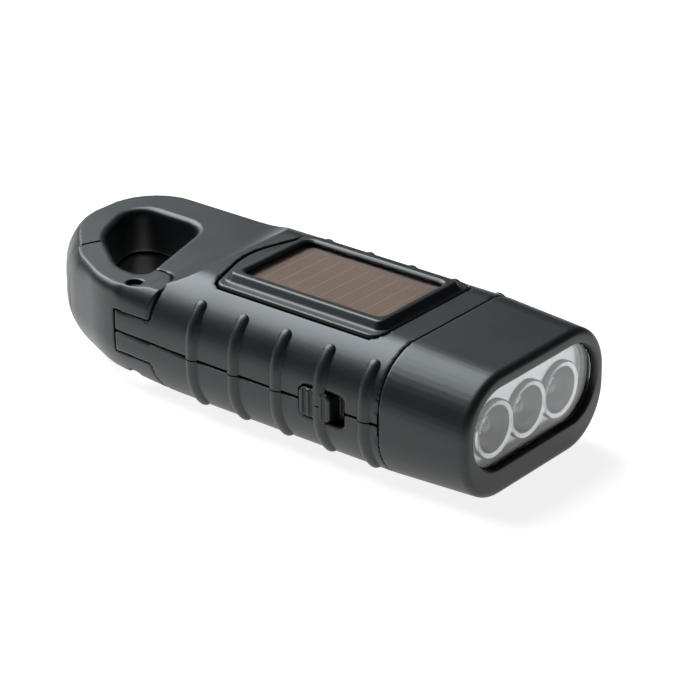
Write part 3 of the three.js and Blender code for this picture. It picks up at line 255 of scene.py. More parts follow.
def loft(name, rings):
    """A closed form: a filled ring is extruded again and again, and each new ring is moved to its place."""
    deselect()
    bpy.ops.mesh.primitive_circle_add(vertices=len(rings[0]), radius=1, fill_type="NGON")
    piece = bpy.context.object
    piece.name = name
    mesh = piece.data
    order = list(range(len(rings[0])))
    for i, point in zip(order, rings[0]):
        mesh.vertices[i].co = Vector(point) * MM
    for ring in rings[1:]:
        bpy.ops.object.mode_set(mode="EDIT")
        bpy.ops.mesh.extrude_region_move()
        bpy.ops.object.mode_set(mode="OBJECT")
        above = {}
        for edge in mesh.edges:
            a, b = edge.vertices
            if mesh.vertices[a].select != mesh.vertices[b].select:
                above[b if mesh.vertices[a].select else a] = a if mesh.vertices[a].select else b
        order = [above[i] for i in order]
        for i, point in zip(order, ring):
            mesh.vertices[i].co = Vector(point) * MM
    bpy.ops.object.mode_set(mode="EDIT")
    bpy.ops.mesh.select_all(action="SELECT")
    bpy.ops.mesh.normals_make_consistent(inside=False)
    bpy.ops.object.mode_set(mode="OBJECT")
    return piece


def stack(name, corners, levels, chord=CHORD):
    """A plan outline stacked up Z, each level given as (z, outward offset)."""
    outline = rounded(corners, chord)
    return loft(name, [[(p.x + n.x * out, p.y + n.y * out, z) for p, n in outline] for z, out in levels])


def across(name, corners, stations, chord=CHORD):
    """An outline in Y and Z stacked along X."""
    outline = rounded(corners, chord)
    return loft(name, [[(x, p.x + n.x * out, p.y + n.y * out) for p, n in outline] for x, out in stations])


def sideways(name, corners, y0, y1, chord=CHORD):
    """An outline in X and Z drawn along Y."""
    outline = rounded(corners, chord)
    return loft(name, [[(p.x, y, p.y) for p, _ in outline] for y in (y1, y0)])


def soft_levels(half_height, radius, offset=0, steps=24):
    """Levels of a stack whose lower and upper edges are rounded."""
    levels = []
    for side in (-1, 1):
        for k in range(steps + 1):
            angle = (steps - k if side < 0 else k) / steps * math.pi / 2
            z = PARTING + side * (half_height - radius + radius * math.sin(angle))
            levels.append((z, offset - radius * (1 - math.cos(angle))))
    return levels


def box(x0, x1, y0, y1, z0, z1):
    deselect()
    middle = ((x0 + x1) / 2 * MM, (y0 + y1) / 2 * MM, (z0 + z1) / 2 * MM)
    size = ((x1 - x0) * MM, (y1 - y0) * MM, (z1 - z0) * MM)
    bpy.ops.mesh.primitive_cube_add(size=1, location=middle, scale=size)
    bpy.ops.object.transform_apply(location=True, rotation=True, scale=True)
    return bpy.context.object


def bar(x, y, z0, z1, radius, sides=48):
    deselect()
    bpy.ops.mesh.primitive_cylinder_add(vertices=sides, radius=radius * MM, depth=(z1 - z0) * MM,
                                        location=(x * MM, y * MM, (z0 + z1) / 2 * MM))
    bpy.ops.object.transform_apply(location=True, rotation=True, scale=True)
    return bpy.context.object


def copy_of(piece, name):
    deselect()
    twin = piece.copy()
    twin.data = piece.data.copy()
    twin.name = name
    bpy.context.collection.objects.link(twin)
    return twin


def joined(name, parts):
    """Separate forms as one object."""
    take(parts[0])
    for part in parts:
        part.select_set(True)
    bpy.ops.object.join()
    parts[0].name = name
    return parts[0]


def apply_all(piece):
    take(piece)
    for step in list(piece.modifiers):
        bpy.ops.object.modifier_apply(modifier=step.name)


def work(piece, tool, operation):
    step = piece.modifiers.new("step", "BOOLEAN")
    step.operation = operation
    step.object = tool
    step.solver = "MANIFOLD"
    apply_all(piece)
    bpy.data.objects.remove(tool)
    return piece


def cut(piece, *tools):
    for tool in tools:
        work(piece, tool, "DIFFERENCE")
    return piece


def add(piece, *tools):
    for tool in tools:
        work(piece, tool, "UNION")
    return piece


def keep(piece, tool):
    return work(piece, tool, "INTERSECT")


def melt(piece, grain, passes):
    """Gives every edge the small rounding of a moulding."""
    remesh = piece.modifiers.new("melt", "REMESH")
    remesh.mode = "VOXEL"
    remesh.voxel_size = grain * MM
    remesh.use_smooth_shade = True
    ease = piece.modifiers.new("ease", "SMOOTH")
    ease.factor = 0.5
    ease.iterations = passes
    apply_all(piece)
    return piece


def tail_corner(share):
    along, aside, radius = share
    return (-HALF_LENGTH + along * TAIL_LENGTH, aside * HALF_WIDTH, radius * HALF_WIDTH)


def housing_outline():
    ends = [(HALF_LENGTH, HALF_WIDTH, EDGE_RADIUS), (HALF_LENGTH, -HALF_WIDTH, EDGE_RADIUS)]
    return [ends[0], *map(tail_corner, TAIL_SHARES), ends[1]]


def tube(name, inset=0.0):
    return stack(name, housing_outline(), soft_levels(PARTING - inset, EDGE_RADIUS - inset, -inset))


def relief(side):
    """What is taken off above or below the tail, with a soft bend where the ramp begins."""
    face = TAIL_TOP if side > 0 else TAIL_BOTTOM
    body = PARTING + side * (BODY_HEIGHT / 2 + GAP)
    clear = PARTING + side * BODY_HEIGHT
    corners = [(-HALF_LENGTH - OVERRUN, face, 0), (RAMP_X, face, RAMP_BEND), (RAMP_X + RAMP_RUN, body, 0),
               (RAMP_X + RAMP_RUN, clear, 0), (-HALF_LENGTH - OVERRUN, clear, 0)]
    if side < 0:
        corners = [(x, z, r) for x, z, r in reversed(corners)]
    return sideways("relief", corners, -HALF_WIDTH * 2, HALF_WIDTH * 2)


def loop_tool():
    levels = []
    for side, face in ((-1, TAIL_BOTTOM), (1, TAIL_TOP)):
        rim = [(face + side * OVERRUN, 0)]
        for k in range(RIM_STEPS + 1):
            angle = k / RIM_STEPS * math.pi / 2
            rim.append((face - side * RIM_RADIUS * (1 - math.cos(angle)), -RIM_RADIUS * math.sin(angle)))
        levels += rim if side < 0 else rim[::-1]
    return stack("loop", list(map(tail_corner, LOOP_SHARES)), levels)


def arc(cx, cy, radius, start, end, steps):
    angles = [math.radians(start + (end - start) * k / steps) for k in range(steps + 1)]
    return [(cx + radius * math.cos(a), cy + radius * math.sin(a), 0) for a in angles]


def gate_region(gap):
    """What the gate takes up in plan: a tongue about its pin and the sweep of its nose."""
    corners = arc(GATE_X, GATE_Y, TONGUE_REACH + gap, *TONGUE_ANGLES, ARC_STEPS)
    corners += arc(GATE_X, GATE_Y, NOSE_REACH + gap, *NOSE_ANGLES, ARC_STEPS)
    return stack("region", corners, [(-OVERRUN, 0), (BODY_HEIGHT + OVERRUN, 0)])


def lug_region():
    """The lug of the housing that stands in the fork of the gate."""
    root = GATE_X + LUG_SETBACK
    meet = math.degrees(math.acos(LUG_SETBACK / KNUCKLE))
    corners = [(GATE_X - KNUCKLE, GATE_Y - HALF_WIDTH, 0), (root + TONGUE_REACH, GATE_Y - HALF_WIDTH, 0),
               (root + TONGUE_REACH, GATE_Y + TONGUE_REACH * 2, 0), (root, GATE_Y + TONGUE_REACH * 2, 0)]
    corners += arc(GATE_X, GATE_Y, KNUCKLE, meet, 180, LUG_STEPS)
    return stack("lug", corners, [(PARTING - LUG_HEIGHT / 2, 0), (PARTING + LUG_HEIGHT / 2, 0)])


def tail_and_body():
    form = tube("form")
    return cut(form, box(SEAM_X, FAR, -FAR, FAR, -FAR, FAR), relief(1), relief(-1), loop_tool())


def shoulder():
    """The tail as the gate sees it: its upper edge tightens from the hinge towards the nose."""
    outline = rounded(housing_outline())
    low, high = 20, 24
    heights = [PARTING * (1 - math.cos(k / low * math.pi / 2)) for k in range(low + 1)]
    heights += [PARTING + (TAIL_TOP - PARTING) * math.sin(k / high * math.pi / 2) for k in range(1, high + 1)]
    rings = []
    for z in heights + [TAIL_TOP + GAP * 2]:
        ring = []
        for p, n in outline:
            near_hinge = (p.x + SHOULDER_HINGE) / SHOULDER_HINGE_RUN
            past_nose = (-p.x - SHOULDER_NOSE) / SHOULDER_NOSE_RUN
            loose = min(1, max(0, near_hinge, past_nose))
            radius = SHOULDER_RADIUS + (EDGE_RADIUS - SHOULDER_RADIUS) * loose
            bend = SHOULDER_BEND + (BODY_HEIGHT - EDGE_RADIUS - SHOULDER_BEND) * loose
            past = max(0, z - bend) / radius if z > PARTING else max(0, EDGE_RADIUS - z) / EDGE_RADIUS
            edge = radius if z > PARTING else EDGE_RADIUS
            inset = edge * (1 - math.sqrt(max(0, 1 - min(past, EDGE_SHARE) ** 2)))
            ring.append((p.x - n.x * inset, p.y - n.y * inset, z))
        rings.append(ring)
    return loft("gate_form", rings)


def side_line():
    """The near side of the housing in plan, from tail to seam: points and outward directions."""
    return [(p, n) for p, n in rounded(housing_outline()) if p.y < 0 and n.y < SIDE_FACING]


def rib(x, side, line):
    """A half round bead with rounded ends that follows the side of the housing from below to above."""
    straight = PARTING - EDGE_RADIUS
    bulge = (RIB_HALF_WIDTH ** 2 + RIB_PROUD ** 2) / (2 * RIB_PROUD)
    rings = []
    for k in range(RIB_RINGS + 1):
        run = RIB_RUN * math.sin((k / RIB_RINGS - 0.5) * math.pi)
        past = max(0.0, abs(run) - RIB_RUN + RIB_HALF_WIDTH) / RIB_HALF_WIDTH
        fit = max(RIB_TIP, math.sqrt(max(0.0, 1 - past ** 2)))
        turn = max(0.0, abs(run) - straight) / EDGE_RADIUS
        ring = []
        for j in range(RIB_SIDES + 1):
            aside = RIB_HALF_WIDTH * math.cos(math.pi * j / RIB_SIDES)
            ring.append((x + aside * fit, (math.sqrt(bulge ** 2 - aside ** 2) - bulge + RIB_PROUD) * fit))
        ring += [(x - RIB_HALF_WIDTH * fit, -RIB_ROOT), (x + RIB_HALF_WIDTH * fit, -RIB_ROOT)]
        points = []
        for px, high in ring:
            rise = min(abs(run), straight) + (EDGE_RADIUS + high) * math.sin(turn)
            out = (EDGE_RADIUS + high) * math.cos(turn) - EDGE_RADIUS
            points.append((px, side * -plan_y(line, px, out), PARTING + math.copysign(rise, run)))
        rings.append(points)
    return loft("rib", rings)


def plan_y(line, x, out):
    """How far out the side of the housing lies at one place along it, moved outward by a little."""
    moved = sorted((p.x + n.x * out, p.y + n.y * out) for p, n in line)
    for (x0, y0), (x1, y1) in zip(moved, moved[1:]):
        if x0 <= x <= x1:
            return y0 + (y1 - y0) * (x - x0) / max(TINY, x1 - x0)
    return moved[-1][1]


def ribs(shell, z0, z1):
    """Stands the part of every rib between two heights on a shell."""
    line = side_line()
    beads = joined("ribs", [rib(x, side, line) for x in RIB_XS for side in (1, -1)])
    return smooth(add(shell, keep(beads, box(-FAR, FAR, -FAR, FAR, z0, z1))), RIB_ANGLE)


def cavity():
    side = HALF_WIDTH - WALL
    return stack("cavity", rectangle(RAMP_X + WALL, FAR, -side, side, EDGE_RADIUS - WALL),
                 soft_levels(PARTING - WALL, EDGE_RADIUS - WALL, steps=6))


def spigot():
    """The neck of the housing that the head cap slides over."""
    neck = keep(tube("neck", WALL + GAP * 2),
                box(SEAM_X - WALL, SEAM_X + SPIGOT_LENGTH, -FAR, FAR, -FAR, FAR))
    root = keep(tube("root", WALL / 2), box(SEAM_X - WALL, SEAM_X, -FAR, FAR, -FAR, FAR))
    return cut(add(neck, root), tube("bore", WALL * 2))


def panel_corners(out):
    x1 = PANEL["x1"] + out
    x0 = x1 - PANEL["length"] - out * 2
    y = PANEL["width"] / 2 + out
    radius = PANEL["corner"] + out
    bow = (x0 - PANEL["bow"], 0, PANEL["width"] * PANEL["bow_share"])
    return [(x1, y, radius), (x0, y, radius), bow, (x0, -y, radius), (x1, -y, radius)]


def screw_bore(x, y, face):
    return add(bar(x, y, -OVERRUN, FAR, SCREW_BORE), bar(x, y, -OVERRUN, face + SCREW_SINK, SCREW_HEAD_BORE))


def housing_halves():
    body = tail_and_body()
    gate = cut(shoulder(), relief(1), relief(-1), loop_tool())
    lug = keep(copy_of(body, "lug_form"), lug_region())
    cut(body, cavity(), gate_region(GAP))
    add(body, lug, spigot())
    pocket = box(GATE_X - KNUCKLE - GAP, GATE_X + POCKET_REACH, -HALF_WIDTH + POCKET_WALL,
                 GATE_Y + TONGUE_REACH * 2, PARTING - POCKET_HEIGHT / 2, PARTING + POCKET_HEIGHT / 2)
    slot = sideways("slot", rectangle(SWITCH_X - GAP, SWITCH_X + SWITCH_LENGTH + SWITCH_TRAVEL + GAP,
                                      PARTING - SLOT_HEIGHT / 2, PARTING + SLOT_HEIGHT / 2, SLOT_CORNER),
                    -FAR, -HALF_WIDTH / 2)
    cut(body, bar(GATE_X, GATE_Y, -OVERRUN, FAR, PIN_RADIUS + GAP), pocket, slot)
    upper = keep(copy_of(body, "housing_top"), box(-FAR, FAR, -FAR, FAR, PARTING + GAP / 2, FAR))
    lower = keep(body, box(-FAR, FAR, -FAR, FAR, -FAR, PARTING - GAP / 2))
    lower.name = "housing_base"
    return finish_top(upper), finish_base(lower), gate


def finish_top(shell):
    tray = stack("tray", panel_corners(WALL), [(TRAY_BOTTOM, 0), (BODY_HEIGHT - GAP, 0)])
    add(shell, keep(tray, tube("trim")))
    cut(shell, stack("pocket", panel_corners(PANEL_GAP), [(TRAY_TOP, 0), (FAR, 0)]))
    for x, y in SCREWS:
        add(shell, keep(bar(x, y, PARTING + GAP / 2, BOSS_TOP, BOSS_RADIUS), tube("trim")))
    for x, y in SCREWS + [TAIL_SCREW]:
        cut(shell, bar(x, y, -OVERRUN, SCREW_END, SCREW_BORE))
    return ribs(melt(shell, GRAIN["shell"], 1), PARTING + GAP / 2, FAR)


def finish_base(shell):
    add(shell, bar(CRANK_X, 0, WALL, WELL_TOP, WELL_RADIUS + WALL, 96))
    for x, y in SCREWS:
        add(shell, keep(bar(x, y, WALL / 2, PARTING - GAP / 2, BOSS_RADIUS), tube("trim")))
    for x, y in GEAR_POSTS:
        add(shell, keep(bar(x, y, WALL, POST_TOP, POST_RADIUS), tube("trim")))
    add(shell, bar(COMPOUND_X, 0, WALL, AXLE_TOP, POST_RADIUS))
    for x, y in SCREWS:
        cut(shell, screw_bore(x, y, 0))
    for x, y in GEAR_POSTS:
        cut(shell, bar(x, y, WELL_TOP, FAR, SCREW_BORE))
    for x in WEB_XS:
        web = box(x - WEB_HALF, x + WEB_HALF, -HALF_WIDTH + WALL / 2, WEB_INNER, WALL / 2, WEB_TOP)
        add(web, box(x - WEB_HALF, x + WEB_HALF, STEP_OUTER, WEB_INNER, STEP_BOTTOM, STEP_TOP))
        add(shell, keep(web, tube("trim")))
    cut(shell, bar(CRANK_X, 0, -OVERRUN, WELL_DEPTH, WELL_RADIUS, 96), bar(CRANK_X, 0, 0, FAR, SHAFT_BORE),
        bar(COMPOUND_X, 0, AXLE_FOOT, FAR, AXLE_BORE), screw_bore(*TAIL_SCREW, TAIL_BOTTOM))
    return ribs(melt(shell, GRAIN["shell"], 1), -FAR, PARTING - GAP / 2)


def loop_gate(form):
    """The gate, with a fork for the lug and a groove for the leg of its spring."""
    keep(form, gate_region(0))
    fork_x = GATE_X - KNUCKLE - GAP
    fork_z = LUG_HEIGHT / 2 + GAP
    fork = box(fork_x, FAR, -FAR, FAR, PARTING - fork_z, PARTING + fork_z)
    groove = box(fork_x - GROOVE_DEPTH, fork_x + GAP, GATE_Y - GROOVE_FAR, GATE_Y - GROOVE_NEAR,
                 PARTING - GROOVE_HALF, PARTING + GROOVE_HALF)
    cut(form, fork, groove, bar(GATE_X, GATE_Y, -OVERRUN, FAR, PIN_RADIUS + GAP))
    form.name = "loop_gate"
    return melt(form, GRAIN["gate"], 4)


def head_section(x, inset, steps=14):
    """Outline of the head at one place along it, which narrows towards the front."""
    along = (x - SEAM_X) / HEAD_LENGTH
    half = HALF_WIDTH + (FRONT_HALF_WIDTH - HALF_WIDTH) * along - inset
    tall = BODY_HEIGHT / 2 + (FRONT_HALF_HEIGHT - BODY_HEIGHT / 2) * along - inset
    radius = EDGE_RADIUS + (FRONT_RADIUS - EDGE_RADIUS) * along - inset
    z = PARTING + FRONT_RISE * along
    outline = rounded(rectangle(-half, half, z - tall, z + tall, radius), steps=steps)
    return [(x, p.x, p.y) for p, _ in outline]


def face_corners(out=0.0):
    half, tall = FACE_HALF_WIDTH + out, FACE_HALF_HEIGHT + out
    return rectangle(-half, half, FACE_Z - tall, FACE_Z + tall, tall * FACE_CORNER_SHARE)


def quarter(radius, steps=6):
    """Setbacks and rises round a quarter circle, for rounding an edge ring by ring."""
    angles = [k / steps * math.pi / 2 for k in range(steps + 1)]
    return [(radius * (1 - math.cos(a)), radius * (1 - math.sin(a))) for a in angles]


def head_cap():
    nose = [head_section(HALF_LENGTH - rise, setback) for setback, rise in quarter(NOSE_RADIUS, 8)]
    outer = loft("head_cap", [head_section(SEAM_X + GAP, 0), *nose])
    inner = loft("bore", [head_section(SEAM_X - OVERRUN, WALL), head_section(FACE_INNER, WALL)])
    mouth = [(FACE_INNER - OVERRUN, 0), (HALF_LENGTH - MOUTH_ROUNDING, 0)]
    mouth += [(HALF_LENGTH - rise, setback) for setback, rise in quarter(MOUTH_ROUNDING, 4)]
    mouth += [(HALF_LENGTH + OVERRUN, MOUTH_ROUNDING)]
    return melt(cut(outer, inner, across("mouth", face_corners(), mouth)), GRAIN["head"], 2)


def panel_frame():
    """Bowed flange with a raised rim, whose flared opening has a ledge below for the pane."""
    plate_levels = [(FLANGE_SEAT, -FRAME_CHAMFER), (FLANGE_SEAT + FRAME_CHAMFER, 0)]
    plate_levels += [(FLANGE_TOP - rise, -setback) for setback, rise in quarter(FLANGE_EDGE)]
    rise_levels = [(FLANGE_SEAT, RISE_FOOT), (FLANGE_TOP, RISE_BEND), (FLANGE_TOP + FRAME_CHAMFER, RISE_TOP),
                   (FRAME_TOP - FRAME_EDGE, FRAME_LIP)]
    rise_levels += [(FRAME_TOP - rise, -setback) for setback, rise in quarter(FRAME_EDGE, 3)]
    opening_levels = [(0, 0), (FRAME_TOP - WINDOW_FLARE, 0),
                      (FRAME_TOP - FRAME_CHAMFER, WINDOW_FLARE - FRAME_CHAMFER)]
    opening_levels += [(FRAME_TOP, WINDOW_FLARE + FRAME_LIP), (FAR, WINDOW_FLARE + FRAME_LIP)]
    ledge = rectangle(*grown(WINDOW_BOX, WINDOW_LEDGE + GAP), PANE_CORNER)
    piece = stack("panel_frame", panel_corners(0), plate_levels)
    add(piece, stack("rise", rectangle(*FRAME_BOX, FRAME_CORNER), rise_levels))
    cut(piece, stack("opening", rectangle(*WINDOW_BOX, WINDOW_CORNER), opening_levels))
    cut(piece, stack("ledge", ledge, [(0, 0), (PANE_TOP + GAP, 0)]))
    return melt(piece, GRAIN["frame"], 1)


def grown(area, out):
    x0, x1, y0, y1 = area
    return x0 - out, x1 + out, y0 - out, y1 + out


def pane_levels(low, high, edge=0.12):
    """Levels of a pane with broken edges."""
    return [(low, -edge), (low + edge, 0), (high - edge, 0), (high, -edge)]


def panel_glass():
    pane = rectangle(*grown(WINDOW_BOX, WINDOW_LEDGE), PANE_CORNER)
    return stack("panel_glass", pane, pane_levels(PANE_BOTTOM, PANE_TOP))


def lens_pane():
    return across("lens_pane", face_corners(-LENS_GAP), pane_levels(LENS_BACK, LENS_FRONT))


def spun(name, profile, steps=48):
    """A form turned about its own axis by spinning a drawn half section, from (radius, height) points."""
    deselect()
    bpy.ops.mesh.primitive_plane_add(size=1)
    piece = bpy.context.object
    piece.name = name
    bpy.ops.object.mode_set(mode="EDIT")
    bpy.ops.mesh.merge(type="CENTER")
    for _ in profile[1:]:
        bpy.ops.mesh.extrude_region_move()
    bpy.ops.object.mode_set(mode="OBJECT")
    mesh = piece.data
    for vertex, (radius, height) in zip(mesh.vertices, profile):
        vertex.co = (radius * MM, 0, height * MM)
    bpy.ops.object.mode_set(mode="EDIT")
    bpy.ops.mesh.select_all(action="SELECT")
    bpy.ops.mesh.spin(steps=steps, angle=2 * math.pi, center=(0, 0, 0), axis=(0, 0, 1))
    bpy.ops.mesh.select_all(action="SELECT")
    bpy.ops.mesh.remove_doubles(threshold=MERGE_REACH)
    bpy.ops.mesh.dissolve_degenerate(threshold=THIN_REACH)
    bpy.ops.mesh.normals_make_consistent(inside=False)
    bpy.ops.object.mode_set(mode="OBJECT")
    return piece


def lay(piece, place, tilt=(0, 0, 0)):
    """Turns and moves a finished form, and leaves its place in its mesh."""
    piece.rotation_euler = [math.radians(a) for a in tilt]
    piece.location = [c * MM for c in place]
    take(piece)
    bpy.ops.object.transform_apply(location=True, rotation=True, scale=True)
    return piece


def smooth(piece, angle=30):
    take(piece)
    bpy.ops.object.shade_smooth_by_angle(angle=math.radians(angle))
    return piece


def bowl(grow, back, front):
    """Section of a mirror bowl that opens towards the lens."""
    points = []
    for k in range(BOWL_STEPS + 1):
        share = k / BOWL_STEPS
        radius = THROAT_RADIUS + (CUP_RADIUS - THROAT_RADIUS) * math.sqrt(share) + grow
        points.append((radius, (share - 1) * MIRROR_DEPTH))
    profile = [(0, back), (points[0][0], back)] + points[1:-1]
    if front > 0:
        profile += [points[-1], (CUP_RADIUS + BOWL_LIP + grow, BOWL_LIP_RISE),
                    (CUP_RADIUS + BOWL_FLARE + grow, front)]
    else:
        profile = [p for p in profile if p[1] < front] + [(points[-1][0], front)]
    return profile + [(0, front)]


def facing(name, profile, x, y):
    """A spun form laid on the axis of one lamp, with its top towards the lens."""
    return lay(spun(name, profile), (x, y, CUP_Z), (0, 90, 0))


def mirror():
    """Silvered plate with a raised band round three bowls."""
    back = MIRROR_FRONT - MIRROR_THICKNESS
    piece = loft("mirror", [head_section(back, WALL + GAP), head_section(back + MIRROR_PLATE, WALL + GAP)])
    for y in LED_YS:
        add(piece, facing("band", BAND_PROFILE, MIRROR_FRONT, y))
    for y in LED_YS:
        add(piece, facing("cup", bowl(MIRROR_WALL, -MIRROR_DEPTH, BOWL_FRONT), MIRROR_FRONT, y))
    for y in LED_YS:
        hollow = bowl(0, -MIRROR_DEPTH - BOWL_CLEARANCE, BOWL_CLEARANCE)
        cut(piece, facing("hollow", hollow, MIRROR_FRONT, y))
    return smooth(piece, 25)


def lamp(index):
    profile = [(0, 0), (LAMP_RIM, 0), (LAMP_RIM, LAMP_RIM_HEIGHT), (LAMP_RADIUS, LAMP_RIM_HEIGHT),
               (LAMP_RADIUS, LAMP_HEIGHT)]
    turns = [k / LAMP_STEPS * math.pi / 2 for k in range(1, LAMP_STEPS)]
    profile += [(LAMP_RADIUS * math.cos(a), LAMP_HEIGHT + LAMP_RADIUS * math.sin(a)) for a in turns]
    profile += [(0, LAMP_HEIGHT + LAMP_RADIUS)]
    return smooth(facing(f"lamp_{index + 1}", profile, BOARD_FRONT + GAP, LED_YS[index]))


def switch_thumb():
    """Grooved knob with the flange that holds it behind its slot and a stem towards the switch."""
    z = SWITCH_HEIGHT / 2
    x0, x1, face = SWITCH_X, SWITCH_X + SWITCH_LENGTH, -HALF_WIDTH - SWITCH_PROUD
    outline = rounded(rectangle(x0, x1, PARTING - z, PARTING + z, KNOB_CORNER), KNOB_CHORD)
    levels = [(FLANGE_Y + KNOB_FLANGE, 0), (face + KNOB_EDGE, 0)]
    levels += [(face + rise, -setback) for setback, rise in quarter(KNOB_EDGE, 5)]
    rings = [[(p.x + n.x * out, y, p.y + n.y * out) for p, n in outline] for y, out in levels]
    piece = loft("switch_thumb", rings)
    add(piece, box(x0 - KNOB_FLANGE, x1 + KNOB_FLANGE, FLANGE_Y, FLANGE_Y + KNOB_FLANGE,
                   PARTING - z - KNOB_FLANGE, PARTING + z + KNOB_FLANGE))
    middle = (x0 + x1) / 2
    add(piece, box(middle - STEM_HALF, middle + STEM_HALF, FLANGE_Y + STEM_FROM, FLANGE_Y + STEM_TO,
                   PARTING - STEM_HALF, PARTING + STEM_HALF))
    pitch = SWITCH_LENGTH / KNOB_PITCHES
    for k in range(1, KNOB_PITCHES):
        groove = bar(0, 0, -z - KNOB_FLANGE, z + KNOB_FLANGE, KNOB_GROOVE, 16)
        cut(piece, lay(groove, (x0 + pitch * k, face + KNOB_GROOVE_DEPTH, PARTING)))
    return melt(piece, GRAIN["knob"], 1)


def crank_wheel():
    """Turntable with a trough for the folded handle, its hinge slot, a thumb dip and the drive shaft."""
    piece = bar(CRANK_X, 0, DISC_BOTTOM, DISC_TOP, DISC_RADIUS, 128)
    piece.name = "crank_wheel"
    hinge = CRANK_X + HINGE_REACH
    reach = GRIP_RADIUS + TROUGH_GAP
    end = hinge + TROUGH_GAP - math.sqrt(GRIP_START ** 2 - TROUGH_RISE ** 2)
    trough_top = HINGE_HEIGHT + GRIP_RADIUS + TROUGH_GAP
    cut(piece, box(hinge - TROUGH_REACH, end, -reach, reach, -OVERRUN, trough_top))
    cut(piece, box(end - GAP, hinge + HINGE_SLOT_REACH, -HINGE_SLOT_HALF, HINGE_SLOT_HALF,
                   -OVERRUN, trough_top))
    hinge_pin = bar(0, 0, -HINGE_PIN_HALF, HINGE_PIN_HALF, HINGE_PIN_RADIUS, 24)
    cut(piece, lay(hinge_pin, (hinge, 0, HINGE_HEIGHT), (90, 0, 0)))
    deselect()
    dip = ((hinge - TROUGH_REACH + THUMB_SHIFT) * MM, 0, (DISC_BOTTOM - THUMB_SHIFT) * MM)
    bpy.ops.mesh.primitive_uv_sphere_add(segments=48, ring_count=24, radius=THUMB_RADIUS * MM, location=dip)
    bpy.ops.object.transform_apply(location=True, rotation=True, scale=True)
    cut(piece, bpy.context.object)
    add(piece, bar(CRANK_X, 0, DISC_TOP - GAP, GEAR_LEVEL - GAP, SHAFT_RADIUS))
    add(piece, box(CRANK_X - SQUARE_HALF, CRANK_X + SQUARE_HALF, -SQUARE_HALF, SQUARE_HALF,
                   GEAR_LEVEL - SQUARE_SINK, SQUARE_TOP))
    cut(piece, bar(CRANK_X, 0, CRANK_SCREW_FOOT, FAR, CRANK_SCREW_RADIUS, 24))
    return melt(piece, GRAIN["wheel"], 1)


def handle_grip():
    """Fluted sleeve with eased ends."""
    x0, x1 = CRANK_X + HINGE_REACH - GRIP_END, CRANK_X + HINGE_REACH - GRIP_START

    def ring(x, shrink):
        points = []
        for k in range(GRIP_SIDES):
            angle = k / GRIP_SIDES * 2 * math.pi
            flute = FLUTE_DEPTH * max(0.0, math.cos(angle * FLUTES)) ** FLUTE_SHARPNESS
            radius = GRIP_RADIUS - shrink - flute
            points.append((x, radius * math.cos(angle), HINGE_HEIGHT + radius * math.sin(angle)))
        return points

    rings = [ring(x0 + rise, setback) for setback, rise in quarter(GRIP_EDGE, 4)]
    rings += [ring(x1 - rise, setback) for setback, rise in quarter(GRIP_EDGE, 4)]
    piece = loft("grip_sleeve", rings)
    cut(piece, lay(bar(0, 0, -20, 20, GRIP_BORE), ((x0 + x1) / 2, 0, HINGE_HEIGHT), (0, 90, 0)))
    return smooth(piece, 40)


def handle_cap():
    place = (CRANK_X + HINGE_REACH - CAP_REACH, 0, HINGE_HEIGHT)
    return smooth(lay(spun("grip_cap", CAP_PROFILE), place, (0, 90, 0)), 35)


def housing_screw(name, x, y, z, length):
    """Pan head screw with a cross in its head, standing upright with the head below."""
    profile = [(0, 0), (1.7, 0), (2.1, 0.12), (2.3, 0.45), (2.3, SCREW_HEAD), (1.2, SCREW_HEAD),
               (1.2, SCREW_HEAD + length - SCREW_TIP), (0.6, SCREW_HEAD + length), (0, SCREW_HEAD + length)]
    piece = spun(name, profile)
    for turn in (0, 90):
        blade = box(-DRIVE_REACH, DRIVE_REACH, -DRIVE_HALF, DRIVE_HALF, -1, DRIVE_DEPTH)
        cut(piece, lay(blade, (0, 0, 0), (0, 0, turn)))
    return smooth(lay(piece, (x, y, z), (0, 0, 20 + x)), 30)


class Wire:
    """A shader socket that sums can be written with."""

    def __init__(self, finish, socket):
        self.finish = finish
        self.socket = socket

    def math(self, operation, *others):
        return self.finish.node("ShaderNodeMath", {"operation": operation}, [self, *others])

    def __add__(self, other):
        return self.math("ADD", other)

    def __sub__(self, other):
        return self.math("SUBTRACT", other)

    def __mul__(self, other):
        return self.math("MULTIPLY", other)

    def __rsub__(self, other):
        return self.finish.node("ShaderNodeMath", {"operation": "SUBTRACT"}, [other, self])

    __radd__ = __add__
    __rmul__ = __mul__


